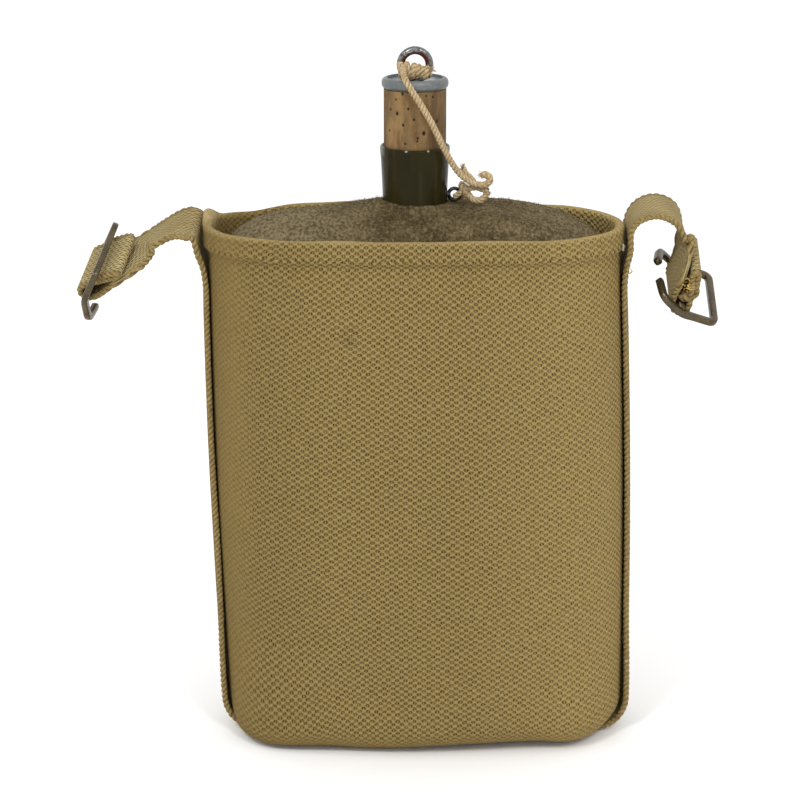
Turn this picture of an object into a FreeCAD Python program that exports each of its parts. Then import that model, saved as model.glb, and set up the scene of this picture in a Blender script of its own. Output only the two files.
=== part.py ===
import FreeCAD, Part
import math
import os

import Sketcher
from FreeCAD import Placement, Rotation, Vector

# An army water bottle: an enamelled steel bottle in a felt cover, with a corked neck,
# carried in a webbing sleeve whose side strap ends in two hooked buckles.
# Millimetres. X is to the right, Y away from the viewer, Z up. The origin is on the
# ground, under the middle of the neck.

SIZES = {
    # webbing sleeve: one wide piece, front, base and back, with a hem at its rim
    "rim_height": 215.9,
    "rim_right": 84.5,
    "rim_left": 85.5,
    "rim_front": 41.1,
    "rim_rear": 45.1,
    "base_right": 87.6,
    "base_left": 77.4,
    "base_front": 41.0,
    "base_rear": 41.0,
    "side_bulge": 1.7,
    "front_bulge": 2.6,
    "end_round": 36.0,
    "base_round": 12.0,
    "web_thickness": 2.2,
    "hem_depth": 9.5,
    "hem_step": 2.1,
    # side strap: one length of one inch webbing down both sides and under the base
    "strap_width": 25.4,
    "strap_thickness": 2.0,
    "strap_gap": 0.35,
    "strap_tail": 16.8,
    "tail_lean": 0.4,
    "tuck_length": 9.0,
    "layer_gap": 0.25,
    # felt cover
    "felt_thickness": 2.6,
    "cloth_gap": 0.3,
    "felt_height": 223.4,
    "dome_height": 19.4,
    "felt_round": 9.0,
    "felt_end_round": 34.0,
    "neck_hole_gap": 0.3,
    # bottle; every rise is measured from the top of the felt
    "sheet_thickness": 1.1,
    "neck_base_radius": 12.85,
    "neck_mid_radius": 13.2,
    "lip_radius": 13.9,
    "neck_rise": 23.6,
    "neck_mid_rise": 14.2,
    "lip_roll": 0.5,
    # stopper
    "cork_radius": 12.45,
    "cork_rise": 5.2,
    "cork_play": 0.1,
    "stopper_gap": 0.05,
    "cap_radius": 13.3,
    "cap_rise": 46.6,
    "cap_rim_height": 4.3,
    "cap_rim_width": 2.2,
    "cap_floor": 1.9,
    "washer_radius": 8.5,
    "washer_thickness": 1.0,
    "pin_wire": 3.2,
    "pin_leg_wire": 2.6,
    "eye_diameter": 14.6,
    "pin_hole_gap": 0.05,
    "pin_head_radius": 2.6,
    "pin_head_height": 1.0,
    # lug on the neck
    "lug_wire": 1.5,
    "lug_diameter": 6.1,
    "lug_foot_radius": 1.3,
    "lug_rise": 3.8,
    # tether
    "cord_diameter": 2.6,
    "knot_gap": 0.1,
    # buckles, stamped from plate: a closed loop, a centre bar and two hooked arms
    "frame_width": 35.0,
    "frame_thickness": 2.6,
    "frame_bar": 3.0,
    "loop_reach": 14.6,
    "hook_reach": 10.4,
    "hook_bend": 26.0,
    "tip_gap": 12.0,
    "bar_play": 1.0,
    # where the strap ends carry their buckles, from the strap's place at the rim
    "right_bar_out": 21.15,
    "right_bar_drop": 27.9,
    "left_bar_out": 42.55,
    "left_bar_drop": 21.0,
}

# Each buckle's centre bar runs from its far end to its near end along "bar", and its
# closed loop points along "loop". Both are directions.
RIGHT_BAR = Vector(-0.017, -0.917, -0.397)
RIGHT_LOOP = Vector(0.938, 0.122, -0.323)
LEFT_BAR = Vector(-0.188, -0.853, -0.487)
LEFT_LOOP = Vector(0.369, -0.521, 0.770)

doc = FreeCAD.newDocument("canteen")


def make_sheet():
    sheet = doc.addObject("Spreadsheet::Sheet", "Sizes")
    for row, (name, value) in enumerate(SIZES.items(), start=1):
        sheet.set("A%d" % row, name)
        sheet.set("B%d" % row, str(value))
        sheet.setAlias("B%d" % row, name)
    doc.recompute()
    return sheet


sheet = make_sheet()


def size(name):
    return float(sheet.get(name))


def value_of(expression):
    """The number that an expression of the sheet's names gives."""
    return float(sheet.evalExpression(expression))


def bound(expression):
    """The same expression as another object of the document writes it."""
    text = expression
    for name in sorted(SIZES, key=len, reverse=True):
        text = text.replace(name, "<<" + str(list(SIZES).index(name)) + ">>")
    for index, name in enumerate(SIZES):
        text = text.replace("<<%d>>" % index, "Sizes." + name)
    return text


def origin_plane(body, role):
    for feature in body.Origin.OriginFeatures:
        if feature.Role == role:
            return feature
    raise ValueError(role)


def new_body(name):
    return doc.addObject("PartDesign::Body", name)


def new_sketch(body, name, role):
    sketch = body.newObject("Sketcher::SketchObject", name)
    sketch.AttachmentSupport = [(origin_plane(body, role), "")]
    sketch.MapMode = "FlatFace"
    return sketch


def constrain(sketch, expression, kind, *where):
    """Adds a dimension whose value follows an expression of the sheet's names."""
    index = sketch.addConstraint(Sketcher.Constraint(kind, *where, value_of(expression)))
    sketch.setExpression("Constraints[%d]" % index, bound(expression))


def polygon_sketch(body, name, role, corners):
    """A closed outline of straight edges. Each corner is a pair of expressions."""
    sketch = new_sketch(body, name, role)
    places = [Vector(value_of(across), value_of(up), 0) for across, up in corners]
    for index, place in enumerate(places):
        following = places[(index + 1) % len(places)]
        sketch.addGeometry(Part.LineSegment(place, following), False)
    for index in range(len(places)):
        following = (index + 1) % len(places)
        sketch.addConstraint(Sketcher.Constraint("Coincident", index, 2, following, 1))
    for index, (across, up) in enumerate(corners):
        pin_down(sketch, "DistanceX", index, across, -2)
        pin_down(sketch, "DistanceY", index, up, -1)
    return sketch


def pin_down(sketch, kind, edge, expression, axis):
    """Fixes one coordinate of an edge's first corner, measured from the origin."""
    value = value_of(expression)
    if abs(value) < 1e-9:
        sketch.addConstraint(Sketcher.Constraint("PointOnObject", edge, 1, axis))
    elif value > 0:
        constrain(sketch, expression, kind, -1, 1, edge, 1)
    else:
        constrain(sketch, "-(" + expression + ")", kind, edge, 1, -1, 1)


def turned(body, name, corners):
    """A piece turned about the Z axis from an outline in the XZ plane."""
    sketch = polygon_sketch(body, name + "_profile", "XZ_Plane", corners)
    turn = body.newObject("PartDesign::Revolution", name)
    turn.Profile = sketch
    turn.ReferenceAxis = (sketch, ["V_Axis"])
    turn.Angle = 360
    doc.recompute()
    return turn


def arc(centre, radius, start, end):
    circle = Part.Circle(centre, Vector(0, 0, 1), radius)
    return Part.ArcOfCircle(circle, start, end)


def half_oval(body, name, side, height, across, front, rear, corner):
    """One half of an oval of four tangent arcs, at a height: side is 1 for the right.

    The end arc has the radius corner and reaches across. The front and rear arcs meet it
    tangentially and reach to front and rear on the middle line.
    """
    sketch = new_sketch(body, name, "XY_Plane")
    sketch.AttachmentOffset = Placement(Vector(0, 0, value_of(height)), Rotation())
    sketch.setExpression("AttachmentOffset.Base.z", bound(height))
    end_radius = value_of(corner)
    reach = value_of(across) - end_radius
    front_depth = value_of(front)
    rear_depth = value_of(rear)
    front_radius = (reach**2 + front_depth**2 - end_radius**2) / (2 * (front_depth - end_radius))
    rear_radius = (reach**2 + rear_depth**2 - end_radius**2) / (2 * (rear_depth - end_radius))
    front_centre = Vector(0, front_radius - front_depth, 0)
    rear_centre = Vector(0, rear_depth - rear_radius, 0)
    low = math.atan2(-front_centre.y, reach)
    high = math.atan2(-rear_centre.y, reach)
    quarter = math.pi / 2
    if side > 0:
        front_arc = arc(front_centre, front_radius, -quarter, low)
        end_arc = arc(Vector(reach, 0, 0), end_radius, low, high)
        rear_arc = arc(rear_centre, rear_radius, high, quarter)
    else:
        front_arc = arc(front_centre, front_radius, math.pi - low, 3 * quarter)
        end_arc = arc(Vector(-reach, 0, 0), end_radius, math.pi - high, math.pi - low)
        rear_arc = arc(rear_centre, rear_radius, quarter, math.pi - high)
    middle = Part.LineSegment(Vector(0, rear_depth, 0), Vector(0, -front_depth, 0))
    for edge in (front_arc, end_arc, rear_arc, middle):
        sketch.addGeometry(edge, False)
    front_in, front_out = (1, 2) if side > 0 else (2, 1)
    # edges: 0 front arc, 1 end arc, 2 rear arc, 3 middle line
    sketch.addConstraint(
        [
            Sketcher.Constraint("Tangent", 0, front_out, 1, front_in),
            Sketcher.Constraint("Tangent", 1, front_out, 2, front_in),
            Sketcher.Constraint("Coincident", 2, front_out, 3, 1),
            Sketcher.Constraint("Coincident", 3, 2, 0, front_in),
            Sketcher.Constraint("PointOnObject", 3, 1, -2),
            Sketcher.Constraint("PointOnObject", 3, 2, -2),
            Sketcher.Constraint("PointOnObject", 0, 3, -2),
            Sketcher.Constraint("PointOnObject", 2, 3, -2),
            Sketcher.Constraint("PointOnObject", 1, 3, -1),
        ]
    )
    constrain(sketch, corner, "Radius", 1)
    if side > 0:
        constrain(sketch, "(" + across + ") - (" + corner + ")", "DistanceX", -1, 1, 1, 3)
    else:
        constrain(sketch, "(" + across + ") - (" + corner + ")", "DistanceX", 1, 3, -1, 1)
    constrain(sketch, front, "DistanceY", 3, 2, -1, 1)
    constrain(sketch, rear, "DistanceY", -1, 1, 3, 1)
    return sketch


def oval_loft(body, name, levels):
    """Lofts both halves of an oval body through its levels.

    A level is (height, right, left, front, rear, corner), each an expression.
    """
    for side, word in ((1, "right"), (-1, "left")):
        sketches = []
        for number, (height, right, left, front, rear, corner) in enumerate(levels):
            label = "%s_%s_level_%d" % (name, word, number)
            across = right if side > 0 else left
            sketches.append(half_oval(body, label, side, height, across, front, rear, corner))
        doc.recompute()
        loft = body.newObject("PartDesign::AdditiveLoft", "%s_%s" % (name, word))
        loft.Profile = sketches[0]
        loft.Sections = sketches[1:]
        loft.Ruled = True
        doc.recompute()


def cut(name, base, tool):
    result = doc.addObject("Part::Cut", name)
    result.Base = base
    result.Tool = tool
    doc.recompute()
    return result


def fuse(name, pieces):
    result = doc.addObject("Part::MultiFuse", name)
    result.Shapes = pieces
    doc.recompute()
    return result


def cylinder(name, radius, height, foot, centre=Vector(0, 0, 0), rotation=None):
    shape = doc.addObject("Part::Cylinder", name)
    shape.setExpression("Radius", bound(radius))
    shape.setExpression("Height", bound(height))
    shape.Placement = Placement(centre, rotation or Rotation())
    if foot:
        shape.setExpression("Placement.Base.z", bound(foot))
    doc.recompute()
    return shape


PANEL_BASE = "(strap_thickness + strap_gap)"
DOME_START = "(felt_height - dome_height)"
NECK_MID = "(felt_height + neck_mid_rise)"
LIP_TOP = "(felt_height + neck_rise)"
LIP_FOOT = "(felt_height + neck_rise - 2 * lip_roll)"
CORK_FOOT = "(felt_height + cork_rise)"
CAP_FOOT = "(felt_height + cap_rise)"
LUG_MIDDLE = "(felt_height + lug_rise)"
ROUND_ANGLES = (0, 25, 50, 72, 90)
WALL_SHARES = (0.25, 0.5, 0.75, 1.0)
DOME_ANGLES = (14, 28, 42, 55, 68)
SIDE_SHARES = (0.15, 0.3, 0.45, 0.6, 0.75, 0.87, 0.955)


def rounded_heights(floor, radius):
    """Heights of a rounded base edge, each with how far the outline draws in there."""
    places = []
    for angle in ROUND_ANGLES:
        height = "%s + (%s) * (1 - cos(%d deg))" % (floor, radius, angle)
        places.append((height, "(%s) * (1 - sin(%d deg))" % (radius, angle)))
    return places


def panel_level(height, inset):
    """The sleeve's outline at a height, less an inset: it bulges over the bottle."""
    share = "((" + height + ") / rim_height)"
    bulge = " * sin(180 deg * min(" + share + "; 1))"
    parts = []
    for word, swell in (("right", "side_bulge"), ("left", "side_bulge"),
                        ("front", "front_bulge"), ("rear", "front_bulge")):
        rise = "(rim_%s - hem_step - base_%s) * %s" % (word, word, share)
        parts.append("base_%s + %s + %s%s - (%s)" % (word, rise, swell, bulge, inset))
    return (height,) + tuple(parts) + ("end_round - (" + inset + ")",)


def panel_levels(inset, floor, radius):
    levels = []
    for height, drawn_in in rounded_heights(floor, radius):
        levels.append(panel_level(height, inset + " + " + drawn_in))
    foot = "(" + floor + " + " + radius + ")"
    for share in WALL_SHARES:
        levels.append(panel_level("%s + (rim_height - %s) * %.2f" % (foot, foot, share), inset))
    return levels


def make_carrier_panel():
    outer = new_body("panel_outer")
    oval_loft(outer, "panel_skin", panel_levels("0", PANEL_BASE, "base_round"))
    hem_foot = "rim_height - hem_depth"
    hem = ("rim_right", "rim_left", "rim_front", "rim_rear", "end_round + hem_step")
    oval_loft(outer, "panel_hem", [(hem_foot,) + hem, ("rim_height",) + hem])
    cavity = new_body("panel_cavity")
    floor = "(" + PANEL_BASE + " + web_thickness)"
    oval_loft(cavity, "panel_inside", panel_levels("web_thickness", floor, "(base_round - web_thickness)"))
    return cut("carrier_panel", outer, cavity)


# The felt fills the sleeve's narrowest width, and its top is a dome around the neck.
FELT_FLOOR = "(" + PANEL_BASE + " + web_thickness + cloth_gap)"
FELT_TOP = ("(min(rim_right; rim_left) - hem_step - web_thickness - cloth_gap - 0.6)",
            "(rim_front - hem_step - web_thickness - cloth_gap)",
            "(rim_rear - hem_step - web_thickness - cloth_gap)")
FELT_BASE = ("(min(base_right; base_left) - web_thickness - cloth_gap - 0.9)",
             "(base_front - web_thickness - cloth_gap - 0.9)",
             "(base_rear - web_thickness - cloth_gap - 0.9)")


def dome_levels(inset):
    """The felt's outline from its base to the top of its dome, less an inset."""
    less = " - (" + inset + ")"
    levels = []
    corner = "felt_end_round" + less
    across, front, rear = (part + less for part in FELT_BASE)
    floor = "(" + FELT_FLOOR + " + " + inset + ")"
    for height, drawn_in in rounded_heights(floor, "felt_round" + less):
        widths = [width + " - " + drawn_in for width in (across, across, front, rear, corner)]
        levels.append((height,) + tuple(widths))
    across, front, rear = (part + less for part in FELT_TOP)
    levels.append((DOME_START, across, across, front, rear, corner))
    rise = "(dome_height" + less + ") / sin(%d deg)" % DOME_ANGLES[-1]
    for angle in DOME_ANGLES:
        shrink = " * cos(%d deg)" % angle
        height = DOME_START + " + " + rise + " * sin(%d deg)" % angle
        widths = ["(" + width + ")" + shrink for width in (across, across, front, rear, corner)]
        levels.append((height,) + tuple(widths))
    return levels


def felt_body(name, inset):
    body = new_body(name)
    oval_loft(body, name + "_skin", dome_levels(inset))
    return body


def neck_outline(inset, foot, top):
    """The neck's outline from its foot up to its lip, less an inset."""
    return [
        ("0", foot),
        ("neck_base_radius - " + inset, foot),
        ("neck_base_radius - " + inset, "felt_height"),
        ("neck_mid_radius - " + inset, NECK_MID),
        ("lip_radius - " + inset, LIP_FOOT),
        ("lip_radius - " + inset, top),
        ("0", top),
    ]


def make_bottle():
    shell = felt_body("bottle_shell", "felt_thickness + 0.1")
    inside = felt_body("bottle_inside", "felt_thickness + 0.1 + sheet_thickness")
    neck = new_body("neck_outer")
    turned(neck, "neck_wall", neck_outline("0", DOME_START, LIP_TOP))
    round_rims(neck, "lip_round", [("lip_radius", LIP_TOP)], "lip_roll")
    bore = new_body("neck_bore")
    turned(bore, "neck_hollow", neck_outline("sheet_thickness", DOME_START, LIP_TOP))
    doc.recompute()
    outer = fuse("bottle_outer", [shell, neck])
    hollow = fuse("bottle_hollow", [inside, bore])
    return cut("bottle", outer, hollow)


def rim_edge(shape, radius, height):
    """The name of a turned piece's round edge at a radius and a height."""
    for index, edge in enumerate(shape.Edges, start=1):
        box = edge.BoundBox
        level = box.ZLength < 1e-3 and abs(box.ZMin - value_of(height)) < 1e-3
        if level and abs(box.XMax - value_of(radius)) < 1e-2:
            return "Edge%d" % index
    raise ValueError("no rim at " + height)


def round_rims(body, name, places, radius):
    """Rounds a turned piece's edges at some radii and heights."""
    turned_piece = body.Tip
    names = [rim_edge(turned_piece.Shape, across, height) for across, height in places]
    fillet = body.newObject("PartDesign::Fillet", name)
    fillet.Base = (turned_piece, names)
    fillet.setExpression("Radius", bound(radius))
    doc.recompute()


def make_felt_cover():
    outer = felt_body("felt_outer", "0")
    inner = felt_body("felt_inner", "felt_thickness")
    hole = cylinder("felt_hole", "neck_base_radius + neck_hole_gap", "felt_height", DOME_START)
    return cut("felt_cover", outer, fuse("felt_hollow", [inner, hole]))


def make_cork():
    body = new_body("stopper_cork")
    hole = "pin_leg_wire / 2 + pin_hole_gap"
    fit = " - sheet_thickness - cork_play"
    turned(body, "cork_round", [
        (hole, CORK_FOOT),
        ("neck_base_radius" + fit + " - 0.4", CORK_FOOT),
        ("neck_base_radius" + fit, CORK_FOOT + " + 1.5"),
        ("neck_mid_radius" + fit, NECK_MID),
        ("cork_radius", LIP_FOOT),
        ("cork_radius", CAP_FOOT + " - stopper_gap"),
        (hole, CAP_FOOT + " - stopper_gap"),
    ])
    return body


def make_cap():
    """A zinc disc with a thick rounded rim and a sunk floor."""
    body = new_body("stopper_cap")
    hole = "pin_leg_wire / 2 + pin_hole_gap"
    top = CAP_FOOT + " + cap_rim_height"
    turned(body, "cap_disc", [
        (hole, CAP_FOOT),
        ("cap_radius", CAP_FOOT),
        ("cap_radius", top),
        ("cap_radius - cap_rim_width", top),
        ("cap_radius - cap_rim_width - 0.5", CAP_FOOT + " + cap_floor"),
        (hole, CAP_FOOT + " + cap_floor"),
    ])
    round_rims(body, "cap_rim_round", [("cap_radius", CAP_FOOT), ("cap_radius", top)],
               "min(cap_rim_height * 0.42; cap_rim_width * 0.8)")
    return body


def make_washer():
    disc = cylinder("washer_disc", "washer_radius", "washer_thickness",
                    CORK_FOOT + " - stopper_gap - washer_thickness")
    hole = cylinder("washer_hole", "pin_leg_wire / 2 + pin_hole_gap", "washer_thickness * 3",
                    CORK_FOOT + " - stopper_gap - washer_thickness * 2")
    return cut("stopper_washer", disc, hole)


PIN_FOOT = CORK_FOOT + " - 2 * stopper_gap - washer_thickness"
EYE_HEIGHT = CAP_FOOT + " + cap_floor + eye_diameter / 2 + stopper_gap"


def ring(name, diameter, wire, centre_height, extra="0"):
    """A ring of round wire that stands upright, facing the front."""
    torus = doc.addObject("Part::Torus", name)
    torus.setExpression("Radius1", bound("(" + diameter + " - " + wire + ") / 2"))
    torus.setExpression("Radius2", bound(wire + " / 2 + " + extra))
    torus.Placement = Placement(Vector(0, 0, 0), Rotation(Vector(1, 0, 0), 90))
    torus.setExpression("Placement.Base.z", bound(centre_height))
    doc.recompute()
    return torus


def make_pin():
    """A wire eye whose leg goes through cap, cork and washer to a flat head."""
    eye = ring("pin_eye", "eye_diameter", "pin_wire", EYE_HEIGHT)
    leg = cylinder("pin_leg", "pin_leg_wire / 2",
                   EYE_HEIGHT + " - eye_diameter / 2 + pin_wire / 2 - (" + PIN_FOOT + ")", PIN_FOOT)
    head = cylinder("pin_head", "pin_head_radius", "pin_head_height", PIN_FOOT + " - pin_head_height")
    return fuse("stopper_pin", [eye, leg, head])


LUG_REACH = "neck_base_radius + lug_diameter / 2"


def lug_ring(name, extra):
    torus = ring(name, "lug_diameter", "lug_wire", LUG_MIDDLE, extra)
    torus.setExpression("Placement.Base.x", bound(LUG_REACH))
    return torus


def make_lug():
    """A small wire ring brazed to the neck through a short foot."""
    wire = lug_ring("lug_wire_ring", "0")
    foot = cylinder("lug_foot", "lug_foot_radius", "lug_wire * 1.4", LUG_MIDDLE,
                    rotation=Rotation(Vector(0, 1, 0), 90))
    foot.setExpression("Placement.Base.x", bound("neck_base_radius - lug_wire * 0.5"))
    doc.recompute()
    neck = cylinder("neck_seat", "neck_base_radius + 0.12", "neck_rise", "felt_height - 1")
    return cut("neck_lug", fuse("lug_metal", [wire, foot]), neck)


# The tether, from the knot on the pin's eye, down past the cap and the cork's front, to
# the knot by the lug and round into its curled end. The upper points are: to the right,
# in front of the cap's rim, above the cap's foot. The lower points are: to the right of
# the lug's middle, towards the front, above the lug's middle.
TETHER_TOP = [
    (-4.4, -8.9, 9.4),
    (-4.8, -3.8, 6.9),
    (-3.5, 1.7, 4.6),
    (-1.3, 2.3, 1.2),
    (2.6, 2.0, -5.0),
    (6.2, 1.7, -11.0),
]
TETHER_FOOT = [
    (-6.0, 13.8, 23.9),
    (-2.3, 11.4, 16.0),
    (1.8, 9.4, 9.7),
    (6.8, 8.6, 5.9),
    (11.6, 8.4, 4.9),
    (14.3, 8.4, 6.9),
    (13.3, 8.6, 9.5),
    (10.5, 9.0, 9.6),
]
# The slack loop beside the hitch, measured like the tether's lower points.
LUG_LOOP = [
    (4.5, 3.6, 2.7),
    (6.1, 4.2, -0.8),
    (9.1, 5.4, -2.0),
    (11.7, 6.4, -0.6),
    (13.4, 6.6, 2.3),
]


def by_the_cap(right, front, up):
    return Vector(right, -size("cap_radius") - front, value_of(CAP_FOOT) + up)


def by_the_lug(right, front, up):
    return Vector(value_of(LUG_REACH) + right, -front, value_of(LUG_MIDDLE) + up)


def tether_points():
    return [by_the_cap(*point) for point in TETHER_TOP] + [by_the_lug(*point) for point in TETHER_FOOT]


def rounded_path(points):
    """Straight runs joined by tangent arcs, each as large as its two runs allow."""
    edges = []
    radii = []
    start = points[0]
    for before, corner, after in zip(points, points[1:], points[2:]):
        back = before - corner
        ahead = after - corner
        turn = math.pi - back.getAngle(ahead)
        shorter = min(back.Length, ahead.Length)
        step = 0.45 * shorter
        radii.append(step / math.tan(turn / 2))
        entry = corner + back * (step / back.Length)
        leave = corner + ahead * (step / ahead.Length)
        half = (back.normalize() + ahead.normalize()).normalize()
        depth = radii[-1] / math.cos(turn / 2) - radii[-1]
        edges.append(Part.LineSegment(start, entry).toShape())
        edges.append(Part.Arc(entry, corner + half * depth, leave).toShape())
        start = leave
    edges.append(Part.LineSegment(start, points[-1]).toShape())
    return Part.Wire(edges), radii


def tube(points, diameter):
    """A round cord along the rounded path through the points."""
    path, radii = rounded_path(points)
    along = (points[1] - points[0]).normalize()
    section = Part.Wire([Part.Circle(points[0], along, diameter / 2).toShape()])
    solid = path.makePipeShell([section], True, False)
    area = math.pi * diameter**2 / 4
    print("cord: length %.1f, radii from %.1f, volume %.3f of section times length"
          % (path.Length, min(radii), solid.Volume / (area * path.Length)))
    return solid


def make_tether():
    cord = doc.addObject("Part::Feature", "tether_cord")
    cord.Shape = tube(tether_points(), size("cord_diameter"))
    return cord


def lump(name, centre, share):
    """A plain round mass of cord, its radius a share of the cord's diameter."""
    ball = doc.addObject("Part::Sphere", name)
    ball.setExpression("Radius", bound("cord_diameter * %.2f" % share))
    ball.Placement = Placement(centre, Rotation())
    return ball


def on_the_eye(right, front, up):
    """A place above the cap's floor, in shares of the eye's diameter."""
    eye = size("eye_diameter")
    return Vector(right * eye, -front * eye, value_of(CAP_FOOT) + size("cap_floor") + up * eye)


def make_ring_knot(tether):
    """The knot that ties the tether round the left of the pin's eye, on the cap."""
    masses = [
        lump("knot_left", on_the_eye(-0.28, 0.11, 0.315), 1.3),
        lump("knot_middle", on_the_eye(-0.014, 0.15, 0.2), 1.1),
        lump("knot_right", on_the_eye(0.247, 0.13, 0.205), 1.1),
    ]
    top = ring("eye_room", "eye_diameter", "pin_wire", EYE_HEIGHT, "knot_gap")
    floor = cylinder("cap_room", "cap_radius", "cap_rim_height * 2",
                     CAP_FOOT + " + cap_floor + knot_gap - cap_rim_height * 2")
    leg = cylinder("leg_room", "pin_leg_wire / 2 + knot_gap", "cap_rim_height * 3", CAP_FOOT)
    room = fuse("ring_knot_room", [top, floor, leg, tether])
    return cut("ring_knot", fuse("ring_knot_mass", masses), room)


def make_lug_knot():
    """The hitch on the lug, with the cord's slack loop beside it."""
    hitch = lump("hitch", by_the_lug(3.3, 3.0, 2.4), 1.15)
    loop = doc.addObject("Part::Feature", "slack_loop")
    loop.Shape = tube([by_the_lug(*point) for point in LUG_LOOP], size("cord_diameter"))
    wire = lug_ring("lug_room", "knot_gap")
    neck = cylinder("neck_room", "neck_base_radius + 0.3", "neck_rise", "felt_height - 1")
    room = fuse("lug_knot_room", [wire, neck])
    return cut("lug_knot", fuse("lug_knot_mass", [hitch, loop]), room)


def buckle_body(name):
    """A plate frame: x runs from the centre bar to the closed loop, y along the bar."""
    body = new_body(name)
    half = "frame_thickness / 2"
    over = "(hook_reach + frame_bar / 2)"
    run = over + " * cos(hook_bend * 1 deg)"
    rise = over + " * sin(hook_bend * 1 deg)"
    lean = half + " * sin(hook_bend * 1 deg)"
    drop = half + " * cos(hook_bend * 1 deg)"
    miter = half + " * tan(hook_bend * 0.5 deg)"
    side = polygon_sketch(body, name + "_side", "XZ_Plane", [
        ("loop_reach + frame_bar / 2", "-" + half),
        ("loop_reach + frame_bar / 2", half),
        (miter, half),
        ("-(" + run + ") + " + lean, rise + " + " + drop),
        ("-(" + run + ") - " + lean, rise + " - " + drop),
        ("-(" + miter + ")", "-" + half),
    ])
    plate = body.newObject("PartDesign::Pad", name + "_plate")
    plate.Profile = side
    plate.Midplane = True
    plate.setExpression("Length", bound("frame_width"))
    doc.recompute()
    inner = "(frame_width / 2 - frame_bar)"
    slot = polygon_sketch(body, name + "_slot", "XY_Plane", [
        ("frame_bar / 2", "-" + inner),
        ("loop_reach - frame_bar / 2", "-" + inner),
        ("loop_reach - frame_bar / 2", inner),
        ("frame_bar / 2", inner),
    ])
    through(body, name + "_slot_cut", slot)
    tips = "-(" + over + " - frame_bar) * cos(hook_bend * 1 deg)"
    bar_edge = lean + " - frame_bar / 2 * cos(hook_bend * 1 deg)"
    gap = polygon_sketch(body, name + "_hook", "XY_Plane", [
        (bar_edge, "-" + inner),
        (bar_edge, inner),
        (tips, inner),
        (tips, "tip_gap / 2"),
        ("-(" + over + ") * 1.3", "tip_gap / 2"),
        ("-(" + over + ") * 1.3", "-tip_gap / 2"),
        (tips, "-tip_gap / 2"),
        (tips, "-" + inner),
    ])
    through(body, name + "_hook_cut", gap)
    return body


def through(body, name, sketch):
    """Cuts a sketch out of the whole thickness of a body, both ways."""
    before = body.Shape.Volume
    pocket = body.newObject("PartDesign::Pocket", name)
    pocket.Profile = sketch
    pocket.Midplane = True
    pocket.setExpression("Length", bound("(hook_reach + frame_bar) * 3"))
    doc.recompute()
    if body.Shape.Volume > 0.98 * before:
        raise ValueError(name + " cut nothing")


def bar_centre(side):
    """The middle of a buckle's centre bar, worked from the strap's place at the rim."""
    if side > 0:
        return Vector(strap_across(1, size("rim_height")) + size("right_bar_out"), -0.4,
                      size("rim_height") - size("right_bar_drop"))
    return Vector(-strap_across(-1, size("rim_height")) - size("left_bar_out"), -0.6,
                  size("rim_height") - size("left_bar_drop"))


def make_buckle(name, side, bar, loop):
    body = buckle_body(name)
    along = bar.normalize()
    reach = (loop - along * loop.dot(along)).normalize()
    normal = reach.cross(along * -side)
    turn = Rotation(reach, normal.cross(reach), normal, "ZXY")
    body.Placement = Placement(bar_centre(side), turn)
    doc.recompute()
    return body


def panel_across(side, height):
    """How far the sleeve reaches to one side at a height, its hem included."""
    word = "right" if side > 0 else "left"
    base = size("base_" + word)
    rim = size("rim_" + word) - size("hem_step")
    top = size("rim_height")
    share = height / top
    bulge = size("side_bulge") * math.sin(math.pi * min(max(share, 0), 1))
    hem = size("hem_step") if height > top - size("hem_depth") - 4 else 0
    return base + (rim - base) * share + bulge + hem


def strap_across(side, height):
    """Where the middle of the strap's thickness is, on one side, at a height."""
    return panel_across(side, height) + size("strap_gap") + size("strap_thickness") / 2


# Each arch leaves the rim beside the sleeve and comes down to its buckle: steps outwards,
# heights above the rim, the near edge's fall in degrees and its swing to the right.
RIGHT_ARCH = [
    (0.1, -4.0, 1.0, 0.00),
    (0.5, -1.2, 2.5, 0.00),
    (2.4, 2.5, 6.0, 0.00),
    (5.9, 5.1, 8.5, 0.00),
    (10.7, 6.4, 9.5, 0.00),
    (15.6, 5.3, 11.5, 0.01),
    (19.8, 1.9, 14.0, 0.02),
    (21.9, -3.5, 17.0, 0.04),
    (22.3, -8.8, 19.0, 0.05),
]
LEFT_ARCH = [
    (0.3, -6.1, 15.5, -0.06),
    (0.8, -2.6, 20.5, -0.10),
    (3.5, -0.8, 20.5, -0.13),
    (9.2, -1.5, 14.5, -0.12),
    (16.4, -5.3, 14.0, -0.15),
    (22.1, -9.5, 19.0, -0.16),
]
# The layer that comes in to each bar, in the plane across it: distances along the strap
# from the bar, and across it.
RIGHT_INCOMING = [(13.6, -0.5), (10.4, -1.4), (7.0, -2.5), (3.6, -3.3)]
LEFT_INCOMING = [(13.6, 0.5), (10.4, -0.6), (7.0, -1.9), (3.6, -3.1)]


def width_direction(fall, swing):
    return Vector(swing, -math.cos(math.radians(fall)), -math.sin(math.radians(fall))).normalize()


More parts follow.
